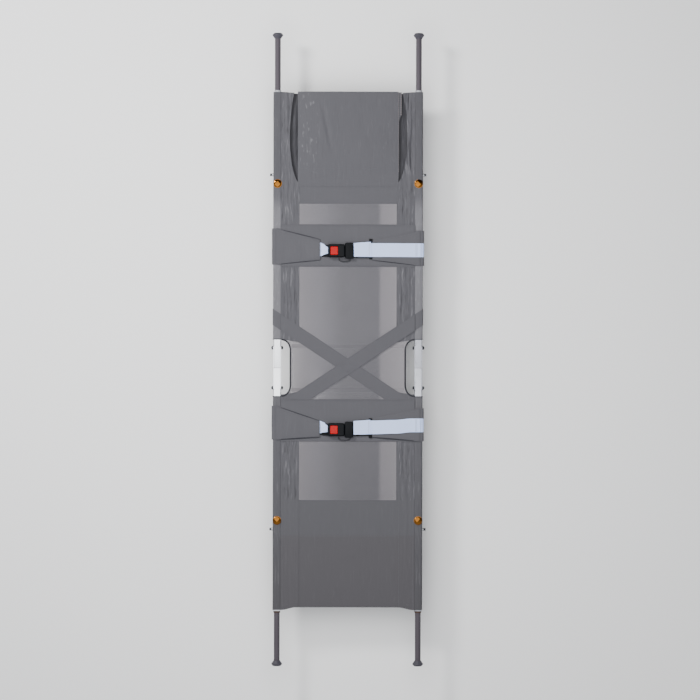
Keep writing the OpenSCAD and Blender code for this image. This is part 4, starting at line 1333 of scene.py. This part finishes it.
# How far brass reaches from a fixing, the length of a handle's cap and a radius just over its tube's
DOME_REACH = 18 * MM
CAP_LONG, TUBE_HALF = 20.5 * MM, 10.6 * MM


def dressed(node, finish, body, bevel=0.5 * MM):
    """Copy of a CAD node with merged corners, small bevels and smooth round faces."""
    mesh = frame["nodes"][node].data.copy()
    mesh.materials.clear()
    work = bmesh.new()
    work.from_mesh(mesh)
    bmesh.ops.remove_doubles(work, verts=work.verts, dist=0.002 * MM)
    bmesh.ops.dissolve_limit(work, angle_limit=math.radians(0.5), verts=work.verts, edges=work.edges)
    sharp = [edge for edge in work.edges if len(edge.link_faces) == 2 and edge.calc_face_angle(0) > CRISP]
    bmesh.ops.bevel(work, geom=sharp, offset=bevel, segments=2, profile=0.5, affect="EDGES",
                    clamp_overlap=True)
    for face in work.faces:
        face.smooth = True
    for edge in work.edges:
        edge.smooth = len(edge.link_faces) == 2 and edge.calc_face_angle(0) < ROUND_TURN
    work.to_mesh(mesh)
    work.free()
    piece = new_piece(node + "_finish", mesh, finish)
    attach(piece, body)
    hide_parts(node)
    return piece


def faces_where(piece, finish, chosen):
    """Gives a second finish to the faces whose centre passes the test."""
    piece.data.materials.append(FINISH[finish])
    for polygon in piece.data.polygons:
        if chosen(polygon.center):
            polygon.material_index = 1


def brass_dome(piece, corner):
    """The dome and ring that stand over the sleeve are polished brass."""
    joint = "width_fold_head_left" if corner.startswith("head") else "width_fold"
    fixing = JOINTS[joint]["pos_m"][1]
    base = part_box("sleeve_" + corner)[1].z - 0.5 * MM
    faces_where(piece, "brass", lambda spot: spot.z > base and abs(spot.y - fixing) < DOME_REACH)


def end_cap(tube, corner):
    """The flare at a handle's outer end is its cap."""
    end, side = corner.split("_")
    inner = abs(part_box("handle_" + corner)[1 if end == "head" else 0].y) - CAP_LONG
    middle = Vector((SIDES[side] * POLE_X, POLE_Z))
    faces_where(tube, "cap", lambda spot: abs(spot.y) > inner
                and (Vector((spot.x, spot.z)) - middle).length > TUBE_HALF)


def hinge_seam(side):
    """Stained joint line across the middle of the bare pole, where the two halves meet."""
    x, top = SIDES[side] * POLE_X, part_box("hinge_channel_" + side)[1].z
    line = [Vector((x + away * (POLE_HALF - 1.5 * MM), FOLD, top)) for away in (-1, 1)]
    seam = tube_along("hinge_seam_" + side, line, 0.7 * MM, "stain")
    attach(seam, "hinge_" + side)


# The right-hand poles are more rubbed than the left-hand ones, and darker as painted shade
ALLOY = {"left": "aluminium", "right": "worn_aluminium"}


def hardware():
    """Every hard CAD node, dressed in its own finish."""
    for end in ("head", "foot"):
        for side in SIDES:
            corner = f"{end}_{side}"
            dressed("pole_" + corner, ALLOY[side], corner, 0.4 * MM)
            dressed("guide_" + corner, "collar" if end == "head" else "stain", corner)
            tube = dressed("handle_" + corner, "grey_tube", "handle_" + corner, 0.3 * MM)
            end_cap(tube, corner)
            dressed("lock_pin_" + corner, "dark_steel", "lock_" + corner, 0.3 * MM)
            dressed("bracket_" + corner, "zinc", corner)
            dressed("foot_strip_" + corner, "zinc", corner)
            dressed("arm_" + corner, "zinc", "arm_" + corner)
            brass_dome(dressed("fasteners_" + corner, "zinc", corner, 0.25 * MM), corner)
    for side in SIDES:
        dressed("hinge_channel_" + side, ALLOY[side], "hinge_" + side, 0.4 * MM)
        hinge_seam(side)
        dressed("hinge_pins_" + side, "dark_steel", "hinge_" + side, 0.5 * MM)
    for belt in ("chest", "leg"):
        dressed("buckle_" + belt, "black", "buckle_" + belt, 1.0 * MM)
        dressed("button_" + belt, "red", "button_" + belt, 0.6 * MM)
        dressed("tongue_" + belt, "black", "tongue_" + belt, 0.8 * MM)


# ---- studio ----

# The photo's width, the size of one of its pixels, the point at its centre and its turn
PHOTO_PIXELS = 700
PIXEL = 3.6 * MM
PHOTO_CENTRE = Vector((7.9 * MM, -1.5 * MM, 0.13))
PHOTO_ROLL = 0.002
LENS, SENSOR = 150, 36
FLOOR_HALF = 8


def studio():
    """Pale floor, a sky that is darker towards the head, and two lamps."""
    corners = [(x * FLOOR_HALF, y * FLOOR_HALF, 0) for x, y in ((-1, -1), (1, -1), (1, 1), (-1, 1))]
    floor_mesh = mesh_of("floor", corners, [(0, 1, 2, 3)])
    floor_mesh.materials.append(new_finish("pale_floor", Roughness=0.9, Base_Color=(0.93, 0.93, 0.93, 1))[0])
    in_scene("floor", floor_mesh)
    world = bpy.data.worlds.new("studio")
    world.use_nodes = True
    tree = world.node_tree
    toward = put(tree, "ShaderNodeSeparateXYZ", {0: place(tree, "Generated")}).outputs
    sky = put(tree, "ShaderNodeMapRange", {0: toward[2], 1: 0.0, 2: 0.85, 3: 0.10, 4: 0.9})
    flag = put(tree, "ShaderNodeMapRange", {0: toward[1], 1: -0.55, 2: 0.35, 3: 1.6, 4: 0.12})
    background = tree.nodes["Background"]
    background.inputs[0].default_value = (0.95, 0.97, 1.0, 1)
    tree.links.new(math_node(tree, "MULTIPLY", sky.outputs[0], flag.outputs[0]), background.inputs[1])
    bpy.context.scene.world = world
    for name, spot, size, power in (("softbox", (-0.3, 0.3, 2.6), 2.6, 80),
                                    ("key", (-2.2, 2.0, 2.6), 0.7, 110)):
        light = bpy.data.lights.new(name, "AREA")
        light.size = size
        light.energy = power
        lamp = in_scene(name, light)
        lamp.location = spot
        lamp.rotation_euler = (Vector((0, 0, 0.1)) - Vector(spot)).to_track_quat("-Z", "Y").to_euler()


def camera():
    """Camera straight above, far enough for one PIXEL of the stretcher to fill one pixel of the picture."""
    lens = bpy.data.cameras.new("camera")
    lens.lens = LENS
    lens.sensor_width = SENSOR
    lens.clip_end = 60
    eye = in_scene("camera", lens)
    distance = PHOTO_PIXELS * PIXEL * LENS / SENSOR
    eye.location = PHOTO_CENTRE + Vector((0, 0, distance))
    eye.rotation_euler = (0, 0, PHOTO_ROLL)
    bpy.context.scene.camera = eye


camera()
studio()
hardware()
bed_panels()
bed_strips()
pocket_lining()
fold_lips()
sleeves()
strap_wraps()
cover_wraps()
cross_bands()
cross_straps()
pillow_pocket()
handhold_bindings()
belt_covers()
belt_webbing()
strap_ends()
bed_seams()
band_seams()
strap_seams()
